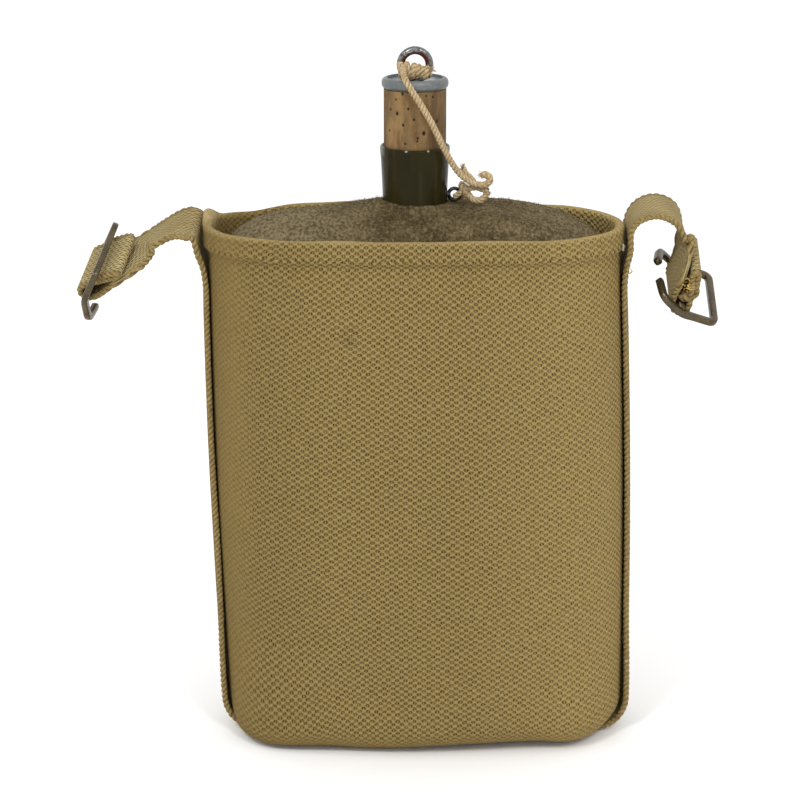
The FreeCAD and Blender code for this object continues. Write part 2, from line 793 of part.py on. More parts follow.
def wrapped_end(side, bar, back, incoming):
    """Stations of the strap's end: round the centre bar, back along itself, tucked under."""
    centre = bar_centre(side)
    along = bar.normalize()
    back = (back - along * back.dot(along)).normalize()
    across = back.cross(along) * side
    if across.x * side < 0:
        across = across * -1
    radius = size("frame_bar") / 2 + size("bar_play") + size("strap_thickness") / 2
    layer = size("strap_thickness") + size("layer_gap")
    tail = size("strap_tail")
    flat = list(incoming)
    for angle in (190, 225, 260, 295, 330, 360):
        turn = math.radians(angle)
        flat.append((radius * math.sin(turn), radius * math.cos(turn)))
    flat.append((tail * 0.35, radius))
    flat.append((tail * 0.7, radius - size("tail_lean") * 0.6))
    flat.append((tail, radius - size("tail_lean")))
    middle = radius - size("tail_lean") + layer / 2
    for angle in (45, 90, 135):
        turn = math.radians(angle)
        flat.append((tail + layer / 2 * math.sin(turn), middle - layer / 2 * math.cos(turn)))
    flat.append((tail, middle + layer / 2))
    flat.append((tail - size("tuck_length"), middle + layer / 2 - 0.2))
    return [(centre + back * up + across * out, along) for up, out in flat]


def strap_stations():
    """The strap's middle line and width direction, from its left end to its right end."""
    level = Vector(0, -1, 0)
    radius = size("base_round") + size("strap_gap") + size("strap_thickness") / 2
    stations = {1: [], -1: []}
    ends = ((1, RIGHT_ARCH, RIGHT_BAR, RIGHT_INCOMING), (-1, LEFT_ARCH, LEFT_BAR, LEFT_INCOMING))
    for side, arch, bar, incoming in ends:
        flat_reach = panel_across(side, 0) - size("base_round")
        corner_height = value_of(PANEL_BASE) + size("base_round")
        path = []
        for share in (0.25, 0.55, 0.85):
            path.append((Vector(side * flat_reach * share, 0, size("strap_thickness") / 2), level))
        for angle in ROUND_ANGLES:
            turn = math.radians(angle)
            level_here = corner_height - size("base_round") * math.cos(turn)
            middle = panel_across(side, level_here) - size("base_round")
            out = middle + radius * math.sin(turn)
            path.append((Vector(side * out, 0, corner_height - radius * math.cos(turn)), level))
        top = size("rim_height")
        hem_foot = top - size("hem_depth")
        for share in SIDE_SHARES:
            height = hem_foot * share
            path.append((Vector(side * strap_across(side, height), 0, height), level))
        _, _, first_fall, first_swing = arch[0]
        place = Vector(side * strap_across(side, hem_foot), 0, hem_foot)
        path.append((place, width_direction(first_fall / 2, first_swing / 2)))
        edge = strap_across(side, top)
        for out, up, fall, swing in arch:
            path.append((Vector(side * (edge + out), 0, top + up), width_direction(fall, swing)))
        back = path[-1][0] - bar_centre(side)
        path += wrapped_end(side, bar, back, incoming)
        stations[side] = path
    return stations[-1][::-1] + stations[1]


def band(stations, width, thickness):
    """A flat band lofted through sections across its path."""
    wires = []
    for index, (place, across) in enumerate(stations):
        before = stations[max(index - 1, 0)][0]
        after = stations[min(index + 1, len(stations) - 1)][0]
        along = (after - before).normalize()
        flat = (across - along * across.dot(along)).normalize()
        up = along.cross(flat).normalize()
        corners = [
            place + flat * (width / 2) + up * (thickness / 2),
            place + flat * (width / 2) - up * (thickness / 2),
            place - flat * (width / 2) - up * (thickness / 2),
            place - flat * (width / 2) + up * (thickness / 2),
        ]
        wires.append(Part.makePolygon(corners + corners[:1]))
    return Part.makeLoft(wires, True, True)


def make_strap():
    strap = doc.addObject("Part::Feature", "side_strap")
    strap.Shape = band(strap_stations(), size("strap_width"), size("strap_thickness"))
    return strap


def export(pieces):
    failed = [item.Name for item in doc.Objects if "Invalid" in item.State or "Error" in item.State]
    if failed:
        raise ValueError("failed: " + ", ".join(failed))
    os.makedirs("parts", exist_ok=True)
    for piece in pieces:
        shape = piece.Shape
        if shape.isNull() or not shape.isValid() or not shape.Solids:
            raise ValueError(piece.Label + " is not a valid solid")
        print("%-16s solids %d volume %10.1f" % (piece.Label, len(shape.Solids), shape.Volume))
        shape.exportStep("parts/%s.step" % piece.Label)


def main():
    bottle = make_bottle()
    tether = make_tether()
    pieces = [
        bottle,
        make_lug(),
        make_felt_cover(),
        make_cork(),
        make_cap(),
        make_pin(),
        make_washer(),
        tether,
        make_ring_knot(tether),
        make_lug_knot(),
        make_carrier_panel(),
        make_strap(),
        make_buckle("left_buckle", -1, LEFT_BAR, LEFT_LOOP),
        make_buckle("right_buckle", 1, RIGHT_BAR, RIGHT_LOOP),
    ]
    doc.recompute()
    export(pieces)


main()
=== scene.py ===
import math

import bpy
import numpy as np
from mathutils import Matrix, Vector, noise


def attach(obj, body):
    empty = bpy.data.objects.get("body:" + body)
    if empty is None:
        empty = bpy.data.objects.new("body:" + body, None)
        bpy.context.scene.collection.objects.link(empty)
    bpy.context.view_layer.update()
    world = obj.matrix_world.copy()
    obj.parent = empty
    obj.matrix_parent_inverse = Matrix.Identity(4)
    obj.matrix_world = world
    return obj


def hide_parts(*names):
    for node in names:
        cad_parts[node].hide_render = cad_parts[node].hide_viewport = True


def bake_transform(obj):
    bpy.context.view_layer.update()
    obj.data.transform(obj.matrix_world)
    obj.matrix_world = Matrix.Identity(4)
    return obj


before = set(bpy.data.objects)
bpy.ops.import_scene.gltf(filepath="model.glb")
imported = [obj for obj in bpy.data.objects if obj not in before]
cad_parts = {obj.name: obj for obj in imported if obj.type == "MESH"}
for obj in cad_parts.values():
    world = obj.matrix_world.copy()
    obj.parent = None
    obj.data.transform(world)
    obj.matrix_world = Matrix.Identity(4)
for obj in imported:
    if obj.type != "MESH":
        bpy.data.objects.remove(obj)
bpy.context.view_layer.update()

# Lengths are in millimetres in the part's frame, and MM turns them into metres.
MM = 0.001
RIM = 215.9
HEM_DEPTH = 9.5
HEM_STEP = 2.1
HEM_FOOT = RIM - HEM_DEPTH
PANEL_BASE = 2.35
BASE_ROUND = 12
FELT_TOP = 223.4
NECK_MID = FELT_TOP + 14.2
LIP = FELT_TOP + 23.6
CAP_FOOT = FELT_TOP + 46.6
CAP_RADIUS = 13.3
CORK_RADIUS = 12.45
EYE = Vector((0, 0, CAP_FOOT + 9.25))
LUG = Vector((15.9, 0, FELT_TOP + 3.8))
STRAP_WIDTH = 25.4
STRAP_THICK = 2
STRAP_GAP = 0.35
RIGHT_BAR = Vector((-0.017, -0.917, -0.397)).normalized()
RIGHT_LOOP = Vector((0.938, 0.122, -0.323)).normalized()
LEFT_BAR = Vector((-0.188, -0.853, -0.487)).normalized()
LEFT_LOOP = Vector((0.369, -0.521, 0.77)).normalized()
FULL_TURN = 2 * math.pi
WEAVE_WIDTH = 3.76
WEAVE_HEIGHT = 2.52
NEEDLE_SPACING = 3.2
SEAM_HEIGHT = 208.4
ROPE_SIDES = 8
STRAP_STEP = 0.6


# Materials

class Graph:
    """A short way to write a material's nodes. The colour is built up in coats."""

    def __init__(self, name):
        self.material = bpy.data.materials.new(name)
        self.material.use_nodes = True
        self.nodes = self.material.node_tree.nodes
        self.links = self.material.node_tree.links
        self.shader = self.nodes["Principled BSDF"]
        self.place = self.node("ShaderNodeTexCoord").outputs["Object"]
        self.colour = None

    def put(self, socket, value):
        if hasattr(value, "links"):
            self.links.new(value, socket)
        elif socket.type == "RGBA":
            socket.default_value = (*value, 1)
        elif value is not None:
            socket.default_value = value

    def node(self, kind, inputs=(), **settings):
        made = self.nodes.new(kind)
        for key, value in settings.items():
            setattr(made, key, value)
        for key, value in dict(inputs).items():
            self.put(made.inputs[key], value)
        return made

    def math(self, operation, a, b=None):
        return self.node("ShaderNodeMath", {0: a, 1: b}, operation=operation).outputs[0]

    def add(self, a, b):
        return self.math("ADD", a, b)

    def times(self, first, *others):
        for other in others:
            first = self.math("MULTIPLY", first, other)
        return first

    def most(self, first, *others):
        for other in others:
            first = self.math("MAXIMUM", first, other)
        return first

    def wave(self, value, length):
        return self.math("COSINE", self.times(value, FULL_TURN / length))

    def wobble(self, value, grain, reach):
        """The value moved by a grain that lies round one half."""
        return self.add(value, self.times(self.add(grain, -0.5), reach))

    def base(self, share, a, b):
        """The first colour, between two tones."""
        self.colour = a
        self.coat(b, share)

    def coat(self, tone, share, strength=None):
        """A tone laid over the colour so far, where the share is high."""
        if strength is not None:
            share = self.times(share, strength)
        made = self.node("ShaderNodeMix", {0: share, 6: self.colour, 7: tone}, data_type="RGBA")
        self.colour = made.outputs[2]

    def noise(self, place, scale, detail=3, rough=0.55):
        made = self.node("ShaderNodeTexNoise", {"Vector": place, "Scale": scale, "Detail": detail,
                                                "Roughness": rough})
        return made.outputs["Fac"]

    def fade(self, value, low, high):
        """0 where the value is low and 1 where it is high, held outside."""
        made = self.node("ShaderNodeMapRange", {"Value": value, "From Min": low, "From Max": high})
        return made.outputs["Result"]

    def scaled(self, place, x, y, z):
        return self.node("ShaderNodeMapping", {"Vector": place, "Scale": (x, y, z)}).outputs[0]

    def parts(self, place):
        return self.node("ShaderNodeSeparateXYZ", {"Vector": place}).outputs

    def near(self, point, reach, core):
        """1 within the core round the point, fading to 0 at the reach. All in millimetres."""
        made = self.node("ShaderNodeVectorMath", {0: self.place, 1: [value * MM for value in point]},
                         operation="DISTANCE")
        return self.fade(made.outputs["Value"], reach * MM, core * MM)

    def bump(self, height, strength, distance):
        made = self.node("ShaderNodeBump", {"Height": height, "Strength": strength,
                                            "Distance": distance * MM})
        return made.outputs[0]

    def cloth(self):
        return self.node("ShaderNodeUVMap", uv_map="cloth").outputs[0]

    def attribute(self, name):
        return self.node("ShaderNodeAttribute", attribute_name=name).outputs["Fac"]

    def finish(self, rough, normal=None, gloss=None, metal=None):
        for key, value in (("Base Color", self.colour), ("Roughness", rough), ("Normal", normal),
                           ("Specular IOR Level", gloss), ("Metallic", metal)):
            self.put(self.shader.inputs[key], value)
        return self.material


def shade(tone, factor):
    return tuple(value * factor for value in tone)


def webbing_material():
    """Plain weave in thick cotton: round floats in staggered rows, with pinholes between them.

    The left side, the rim's edge and the base's edge are worn smooth.
    """
    g = Graph("webbing_weave")
    cloth = g.cloth()
    x, _, z = g.parts(g.place)
    u, v, _ = g.parts(cloth)
    on_seam = g.fade(g.math("ABSOLUTE", g.add(z, -SEAM_HEIGHT * MM)), 0.0008, 0.0003)
    needle = g.times(g.fade(g.wave(u, NEEDLE_SPACING), 0.2, 0.7), on_seam)
    u = g.wobble(u, g.noise(cloth, 0.3, 2), 1.5)
    v = g.wobble(v, g.noise(g.scaled(cloth, 1, 1, 3), 0.22, 2), 1.5)
    across = g.wave(u, WEAVE_WIDTH)
    check = g.times(across, g.wave(v, WEAVE_HEIGHT))
    lobe = g.fade(check, -0.6, 0.45)
    open_share = g.times(g.fade(g.noise(cloth, 0.42, 2), 0.38, 0.62), 0.7)
    pinhole = g.times(g.fade(check, -0.14, -0.48), g.fade(g.math("ABSOLUTE", across), 0.97, 0.72),
                      g.add(0.3, open_share))
    # Painted shade in the grooves round the sunk spots between the floats.
    groove_shade = g.times(g.fade(check, 0.05, -0.3), g.fade(check, -0.95, -0.62),
                     g.fade(g.noise(cloth, 0.55, 2), 0.25, 0.6))
    fine = g.noise(g.scaled(cloth, 1, 4, 1), 2.2)
    worn = g.most(g.fade(x, -0.062, -0.073), g.fade(z, 0.2146, 0.2156), g.fade(z, 0.01, 0.004))
    crisp = g.add(1, g.times(worn, -0.6))
    height = g.add(g.times(g.add(lobe, g.times(pinhole, -0.5)), crisp), g.times(fine, 0.45))
    yarn = g.noise(g.scaled(cloth, 0.8, 0.1, 1), 0.8, 2)
    pick = g.noise(g.scaled(cloth, 0.1, 1.2, 1), 0.7, 2)
    blotch = g.noise(g.place, 11)
    g.base(g.fade(blotch, 0.3, 0.7), (0.212, 0.143, 0.044), (0.265, 0.183, 0.06))
    g.coat((0.205, 0.133, 0.039), g.fade(yarn, 0.35, 0.75))
    g.coat((0.298, 0.213, 0.075), g.fade(pick, 0.45, 0.75), 0.5)
    g.coat((0.325, 0.238, 0.094), g.fade(g.noise(cloth, 0.9, 2), 0.5, 0.8), 0.6)
    # Painted highlight: the raised floats are painted lighter than the cloth between them.
    g.coat((0.36, 0.267, 0.102), g.times(lobe, crisp), 0.6)
    g.coat((0.47, 0.365, 0.165), g.times(g.fade(fine, 0.5, 0.75), lobe), 0.45)
    g.coat((0.39, 0.293, 0.124), g.fade(g.noise(cloth, 5, 2), 0.5, 0.8), 0.35)
    # Painted shade in the grooves between the floats.
    g.coat((0.105, 0.066, 0.018), g.times(groove_shade, crisp), 0.36)
    g.coat((0.15, 0.102, 0.032), g.fade(x, -0.03, -0.082), 0.42)
    g.coat((0.47, 0.34, 0.13), g.fade(x, 0.02, 0.078), 0.34)
    g.coat((0.2, 0.095, 0.04), g.fade(g.noise(cloth, 1.6, 2), 0.66, 0.72), 0.6)
    # Painted highlight along the rounded top edge of the rim.
    g.coat((0.46, 0.35, 0.16), g.fade(z, 0.2144, 0.2158), 0.4)
    g.coat((0.48, 0.37, 0.19), g.near((-84, 4, 219), 9, 4), 0.75)
    # Painted shade in the pinholes between the floats.
    g.coat((0.044, 0.025, 0.006), g.times(pinhole, crisp), 0.95)
    # Painted shade in the needle holes along the seam.
    g.coat((0.045, 0.025, 0.008), needle, 0.55)
    ink = g.most(g.near((-26.5, -44, 177.5), 6.5, 0.5), g.near((-22.5, -44, 181), 3.6, 0.3))
    g.coat((0.045, 0.036, 0.022), g.times(ink, g.fade(g.noise(g.place, 420, 2), 0.42, 0.55)), 0.85)
    brown = g.most(g.near((-40.5, -40, 6.5), 3, 0.2), g.near((-35, -40, 3.5), 2.2, 0.2))
    g.coat((0.12, 0.055, 0.02), brown, 0.7)
    return g.finish(0.95, g.bump(height, 1, 0.85), gloss=0.12)


def strap_material():
    """Close webbing: fine ribs run along the strap, crossed by faint picks."""
    g = Graph("strap_weave")
    cloth = g.cloth()
    u, v, _ = g.parts(cloth)
    u = g.wobble(u, g.noise(g.scaled(cloth, 0.5, 0.2, 1), 1, 2), 0.9)
    stagger = g.math("COSINE", g.add(g.times(v, FULL_TURN / 2.3), g.times(u, FULL_TURN / 2.7)))
    fuzz = g.noise(g.scaled(cloth, 1.6, 0.8, 1), 2.6)
    height = g.add(g.times(g.wave(u, 1.35), 0.55), g.add(g.times(stagger, 0.3), g.times(fuzz, 0.7)))
    blotch = g.noise(g.place, 45)
    g.base(g.fade(blotch, 0.35, 0.65), (0.345, 0.265, 0.116), (0.47, 0.374, 0.178))
    g.coat((0.56, 0.46, 0.24), g.fade(fuzz, 0.45, 0.75), 0.5)
    # Painted shade in the low parts between the ribs.
    g.coat((0.095, 0.064, 0.026), g.fade(height, 0.42, -0.4), 0.86)
    return g.finish(0.95, g.bump(height, 1, 0.55), gloss=0.12)


def rope_material(name, dark, light):
    """Twisted cotton yarn with a fine grain, and painted shade in the grooves between its strands."""
    g = Graph(name)
    fine = g.noise(g.place, 900, 3, 0.7)
    g.base(g.fade(fine, 0.3, 0.7), dark, light)
    g.coat(shade(dark, 0.72), g.fade(g.noise(g.place, 120, 2), 0.5, 0.8), 0.45)
    # Painted shade in the grooves between the strands.
    g.coat(shade(dark, 0.3), g.attribute("groove_shade"), 0.8)
    return g.finish(0.95, g.bump(fine, 0.5, 0.3), gloss=0.12)


def felt_material():
    """Dark felt, paler towards its two sides."""
    g = Graph("felt_fuzz")
    coarse = g.noise(g.place, 75, 5, 0.7)
    fine = g.noise(g.place, 620, 4, 0.7)
    streak = g.noise(g.scaled(g.place, 1, 0.5, 1), 900)
    across = g.parts(g.place)[0]
    aside = g.add(g.fade(across, 0.02, 0.06), g.times(g.fade(across, -0.012, -0.045), 1.9))
    g.base(g.fade(coarse, 0.38, 0.62), (0.055, 0.038, 0.016), (0.15, 0.113, 0.057))
    g.coat((0.235, 0.19, 0.11), aside, 0.28)
    g.coat((0.245, 0.195, 0.112), g.fade(fine, 0.48, 0.66), 0.6)
    g.coat((0.03, 0.02, 0.009), g.fade(streak, 0.54, 0.42), 0.6)
    height = g.add(fine, g.times(streak, 0.8))
    return g.finish(1, g.bump(height, 0.9, 0.9), gloss=0.05)


def hair_material():
    g = Graph("felt_hair")
    tone = (0.115, 0.088, 0.045)
    g.base(g.fade(g.noise(g.place, 500, 1), 0.3, 0.7), tone, shade(tone, 1.7))
    return g.finish(1, gloss=0.05)


def enamel_material():
    """Dark olive enamel, glossy on the neck, rubbed grey at both sides of the lip, with two painted
    highlights on the lip.
    """
    g = Graph("enamel")
    x, _, z = g.parts(g.place)
    streak = g.noise(g.scaled(g.place, 1, 1, 0.06), 330)
    g.base(g.fade(g.noise(g.place, 35), 0.35, 0.7), (0.0145, 0.0115, 0.003), (0.024, 0.0195, 0.0055))
    g.coat((0.036, 0.03, 0.01), g.fade(streak, 0.5, 0.75), 0.6)
    side = g.times(g.fade(g.math("ABSOLUTE", x), 0.0118, 0.0136), g.fade(z, 0.243, 0.2448))
    # Two painted highlights on the front of the lip.
    glint = g.most(g.near((-3.6, -13.5, 246.9), 0.75, 0.1), g.near((5.2, -12.9, 246.9), 0.65, 0.1))
    grey = g.most(side, g.times(glint, 0.9))
    g.coat((0.19, 0.185, 0.165), grey)
    # The painted highlights laid over the colour.
    g.coat((0.42, 0.42, 0.4), glint, 0.6)
    rough = g.add(0.14, g.add(g.times(grey, 0.3), g.times(streak, 0.1)))
    return g.finish(rough, g.bump(g.noise(g.place, 110, 2), 0.5, 0.8), gloss=0.07)


def cork_material():
    """Cork with a grain along its length, painted shade that makes it greyer towards the right, and dark
    pits.
    """
    g = Graph("cork")
    grain = g.noise(g.scaled(g.place, 1, 1, 0.35), 150, 5, 0.65)
    broad = g.noise(g.scaled(g.place, 1, 1, 0.45), 80)
    cells = g.noise(g.place, 900)
    # Painted shade towards the right side of the cork.
    right = g.fade(g.parts(g.place)[0], 0, 0.01)
    g.base(g.fade(grain, 0.39, 0.62), (0.108, 0.058, 0.021), (0.245, 0.15, 0.061))
    # Dark patches at random, with painted shade added towards the right.
    g.coat((0.078, 0.059, 0.033), g.add(g.fade(broad, 0.47, 0.66), g.times(right, 0.55)), 0.75)
    g.coat((0.1, 0.055, 0.024), g.fade(cells, 0.5, 0.75), 0.35)
    g.coat((0.014, 0.008, 0.005), g.fade(g.attribute("pit"), 0.25, 0.75))
    height = g.add(g.times(grain, 0.5), g.times(cells, 0.3))
    return g.finish(0.85, g.bump(height, 0.5, 0.35), gloss=0.2)


def zinc_material():
    """Dull zinc, with painted light on the sunk floor inside the rim."""
    g = Graph("zinc_dull")
    fine = g.noise(g.place, 500, 4, 0.65)
    broad = g.noise(g.place, 110, 4)
    # Painted light: the sunk floor inside the rim is painted pale, against the rim's shade.
    sunk = g.fade(g.parts(g.place)[2], (CAP_FOOT + 3.4) * MM, (CAP_FOOT + 2.2) * MM)
    g.base(g.fade(broad, 0.3, 0.7), (0.08, 0.09, 0.09), (0.135, 0.147, 0.145))
    g.coat((0.5, 0.52, 0.51), g.times(sunk, g.near((0, 0, CAP_FOOT + 2), 11.8, 11)))
    g.coat((0.26, 0.265, 0.25), g.fade(fine, 0.55, 0.8), 0.4)
    g.coat((0.06, 0.065, 0.065), g.fade(fine, 0.42, 0.25), 0.5)
    return g.finish(0.4, g.bump(fine, 0.2, 0.15), metal=0.25)


def wire_material(name, low, high, rust_share):
    """Grey wire. rust_share is how readily it rusts, most of all inside the eye."""
    g = Graph(name)
    fine = g.noise(g.place, 800, 4, 0.65)
    g.base(g.fade(fine, 0.32, 0.7), low, high)
    damp = g.add(g.noise(g.place, 300), g.times(g.near(EYE, 6.3, 5), 0.42))
    rust = g.times(g.fade(damp, 0.62, 0.72), rust_share)
    g.coat((0.085, 0.022, 0.01), rust)
    return g.finish(g.add(0.22, g.times(rust, 0.4)), g.bump(fine, 0.4, 0.2), metal=0.8)


def bronze_material():
    g = Graph("bronze_dark")
    fine = g.noise(g.place, 900, 4, 0.65)
    broad = g.noise(g.place, 170, 4)
    g.base(g.fade(broad, 0.3, 0.7), (0.05, 0.036, 0.018), (0.108, 0.083, 0.045))
    g.coat((0.21, 0.175, 0.12), g.fade(fine, 0.55, 0.8), 0.5)
    g.coat((0.022, 0.016, 0.01), g.fade(fine, 0.42, 0.25), 0.5)
    rough = g.add(0.12, g.times(fine, 0.25))
    return g.finish(rough, g.bump(fine, 0.35, 0.25), metal=0.7)


def floor_material():
    g = Graph("pale_floor")
    g.colour = (0.93, 0.93, 0.93)
    return g.finish(0.9, gloss=0.1)


MATERIALS = {
    "webbing": webbing_material(),
    "strap": strap_material(),
    "selvedge": rope_material("selvedge", (0.15, 0.103, 0.038), (0.33, 0.245, 0.1)),
    "stitch": rope_material("stitch", (0.26, 0.185, 0.075), (0.43, 0.33, 0.155)),
    "cord": rope_material("cord_cotton", (0.3, 0.205, 0.1), (0.56, 0.445, 0.27)),
    "golden": rope_material("golden_thread", (0.42, 0.25, 0.055), (0.7, 0.48, 0.16)),
    "white_thread": rope_material("white_thread", (0.22, 0.2, 0.15), (0.42, 0.39, 0.31)),
    "felt": felt_material(),
    "felt_hair": hair_material(),
    "enamel": enamel_material(),
    "cork": cork_material(),
    "zinc": zinc_material(),
    "eye": wire_material("eye_wire", (0.022, 0.023, 0.022), (0.27, 0.28, 0.275), 1),
    "lug": wire_material("lug_wire", (0.012, 0.012, 0.013), (0.09, 0.09, 0.095), 0.3),
    "bronze": bronze_material(),
    "floor": floor_material(),
}


# Mesh tools

def in_scene(name, data):
    made = bpy.data.objects.new(name, data)
    bpy.context.collection.objects.link(made)
    return made


def linked(name, mesh, material):
    mesh.materials.append(MATERIALS[material])
    return in_scene(name, mesh)


def grid_object(name, rows, material, cloth=None, ends=False):
    """A mesh from equal rings of points. cloth gives each point its (u, v) on the cloth."""
    count = len(rows[0])
    mesh = bpy.data.meshes.new(name)
    points = [(p[0] * MM, p[1] * MM, p[2] * MM) for row in rows for p in row]
    corners = []
    for i in range(len(rows) - 1):
        for j in range(count):
            corners.append(((i, j), (i, j + 1), (i + 1, j + 1), (i + 1, j)))
    if ends:
        corners.append(tuple((0, j) for j in range(count))[::-1])
        corners.append(tuple((len(rows) - 1, j) for j in range(count)))
    mesh.from_pydata(points, [], [[i * count + j % count for i, j in face] for face in corners])
    if cloth is not None:
        layer = mesh.uv_layers.new(name="cloth")
        flat = [value for face in corners for i, j in face for value in cloth[i][j]]
        layer.data.foreach_set("uv", flat)
    mesh.polygons.foreach_set("use_smooth", [True] * len(mesh.polygons))
    return linked(name, mesh, material)


def placed(made, body, slot, *nodes):
    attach(made, body)
    if nodes:
        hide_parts(*nodes)


def joined(name, pieces):
    """Joins mesh objects into the first one, which keeps every piece's material."""
    bpy.ops.object.select_all(action="DESELECT")
    for piece in pieces:
        piece.select_set(True)
    bpy.context.view_layer.objects.active = pieces[0]
    bpy.ops.object.join()
    pieces[0].name = name
    return pieces[0]


def smooth_step(value, low, high):
    share = min(max((value - low) / (high - low), 0), 1)
    return share * share * (3 - 2 * share)


def bell(value, width):
    """1 where the value is 0, falling away on both sides."""
    return math.exp(-(value / width) ** 2)


def uneven(x, y, z):
    return noise.noise(Vector((x, y, z)))


def full_circle(count):
    return [FULL_TURN * k / count for k in range(count)]


def heading(points, i):
    """The direction of the line at one of its points."""
    return (points[min(i + 1, len(points) - 1)] - points[max(i - 1, 0)]).normalized()


def travelled(points):
    """How far along the line each of its points lies."""
    out = [0]
    for a, b in zip(points, points[1:]):
        out.append(out[-1] + (Vector(b) - Vector(a)).length)
    return out


def even_steps(lengths, count):
    """Even steps along a line: how far each lies, and the run of the line that it falls in."""
    k = 0
    for i in range(count + 1):
        want = lengths[-1] * i / count
        while k < len(lengths) - 2 and lengths[k + 1] < want:
            k += 1
        yield want, k


def smooth_curve(points, steps):
    """A smooth line through the points, with a number of steps in each run."""
    out = []
    last = len(points) - 1
    for i in range(last):
        a, b = points[i], points[i + 1]
        leave = (b - points[max(i - 1, 0)]) * 0.5
        arrive = (points[min(i + 2, last)] - a) * 0.5
        for k in range(steps):
            t = k / steps
            out.append(a * (2 * t**3 - 3 * t**2 + 1) + b * (3 * t**2 - 2 * t**3)
                       + leave * (t**3 - 2 * t**2 + t) + arrive * (t**3 - t**2))
    out.append(points[-1].copy())
    return out


def nurbs_line(points):
    """Points along a NURBS curve with these control points."""
    data = bpy.data.curves.new("route", "CURVE")
    data.dimensions = "3D"
    data.resolution_u = 10
    line = data.splines.new("NURBS")
    line.points.add(len(points) - 1)
    for slot, p in zip(line.points, points):
        slot.co = (p[0] * MM, p[1] * MM, p[2] * MM, 1)
    line.order_u = 3
    line.use_endpoint_u = True
    holder = in_scene("route", data)
    bpy.context.view_layer.update()
    mesh = bpy.data.meshes.new_from_object(holder)
    out = [Vector(v.co) / MM for v in mesh.vertices]
    bpy.data.meshes.remove(mesh)
    bpy.data.objects.remove(holder)
    bpy.data.curves.remove(data)
    return out


def evenly(points, step):
    """The same line, with its points a fixed step apart."""
    lengths = travelled(points)
    out = []
    for want, k in even_steps(lengths, max(int(lengths[-1] / step), 2)):
        span = max(lengths[k + 1] - lengths[k], 1e-9)
        out.append(points[k].lerp(points[k + 1], (want - lengths[k]) / span))
    return out


def cross_directions(points):
    """Two steady directions across the line at each of its points."""
    out = []
    side = None
    for i in range(len(points)):
        along = heading(points, i)
        if side is None:
            side = along.orthogonal().normalized()
        side = (side - along * side.dot(along)).normalized()
        out.append((side, along.cross(side)))
    return out


def tube(name, points, radius, material, sides=ROPE_SIDES, taper=0.55):
    """A round strand, drawn in at its ends."""
    rows = []
    last = len(points) - 1
    angles = full_circle(sides)
    for i, (p, (a, b)) in enumerate(zip(points, cross_directions(points))):
        thick = radius * (1 + 0.07 * noise.noise(p * 0.6))
        if i in (0, last):
            thick *= taper
        rows.append([p + (a * math.cos(t) + b * math.sin(t)) * thick for t in angles])
    return grid_object(name, rows, material, ends=True)


def mark_grooves(strand, middles, deep, crest):
    """Note how near each point of a strand lies to the middle line that the strands are laid round, for the
    painted shade in the grooves.
    """
    away = [(vertex.co / MM - middles[vertex.index // ROPE_SIDES % len(middles)]).length
            for vertex in strand.data.vertices]
    layer = strand.data.attributes.new("groove_shade", "FLOAT", "POINT")
    layer.data.foreach_set("value", [1 - smooth_step(value, deep, crest) for value in away])


def twisted(name, points, radius, pitch, material, turn=0, fray=0):
    """Three strands laid round each other along a line. fray opens them at the far end."""
    step = 0.3
    line = evenly(points, step)
    crosses = cross_directions(line)
    strand_radius = radius * 0.58
    last = len(line) - 1
    pieces = []
    for strand in range(3):
        path = []
        for i, (p, (a, b)) in enumerate(zip(line, crosses)):
            angle = turn + FULL_TURN * (strand / 3 + i * step / pitch)
            lay = (radius - strand_radius) * (1 + fray * max(0, (i / last - 0.8) / 0.2) ** 1.5)
            path.append(p + (a * math.cos(angle) + b * math.sin(angle)) * lay)
        pieces.append(tube(name, path, strand_radius, material))
        mark_grooves(pieces[-1], line, radius * 0.76, radius * 0.96)
    return joined(name, pieces)


def fibres(name, spots, material):
    """Short loose fibres. A spot is (foot, direction, length, thickness)."""
    points, faces = [], []
    angles = full_circle(3)
    for foot, way, reach, thick in spots:
        side = way.orthogonal().normalized()
        other = way.cross(side).normalized()
        start = len(points)
        for share, size in ((0, 1), (0.5, 0.8)):
            centre = foot + way * reach * share + side * reach * 0.12 * share
            for t in angles:
                points.append((centre + (side * math.cos(t) + other * math.sin(t)) * thick * size) * MM)
        points.append((foot + way * reach - side * reach * 0.12) * MM)
        for k in range(3):
            m = (k + 1) % 3
            faces.append((start + k, start + m, start + 3 + m, start + 3 + k))
            faces.append((start + 3 + k, start + 3 + m, start + 6))
    mesh = bpy.data.meshes.new(name)
    mesh.from_pydata(points, [], faces)
    return linked(name, mesh, material)


def frayed_end(name, foot, along, count, length, seed, material, spread=0.45, width=0.5):
    rng = np.random.default_rng(seed)
    along = Vector(along).normalized()
    spots = []
    for _ in range(count):
        way = (along + Vector(rng.normal(0, spread, 3))).normalized()
        start = foot + Vector(rng.normal(0, width, 3))
        spots.append((start, way, length * rng.uniform(0.4, 1), 0.11))
    return fibres(name, spots, material)


# Camera, light and floor

def make_camera():
    data = bpy.data.cameras.new("camera")
    data.lens = 113.83
    data.sensor_width = 36
    data.clip_start = 0.01
    data.clip_end = 50
    camera = in_scene("camera", data)
    camera.location = (-0.005969, -1, 0.424411)
    camera.rotation_euler = (math.pi / 2 - 0.276, 0, 0)
    bpy.context.scene.camera = camera


def area_light(name, place, target, size, power):
    data = bpy.data.lights.new(name, "AREA")
    data.shape = "DISK"
    data.size = size
    data.energy = power
    light = in_scene(name, data)
    light.location = place
    light.rotation_euler = (Vector(target) - Vector(place)).to_track_quat("-Z", "Y").to_euler()


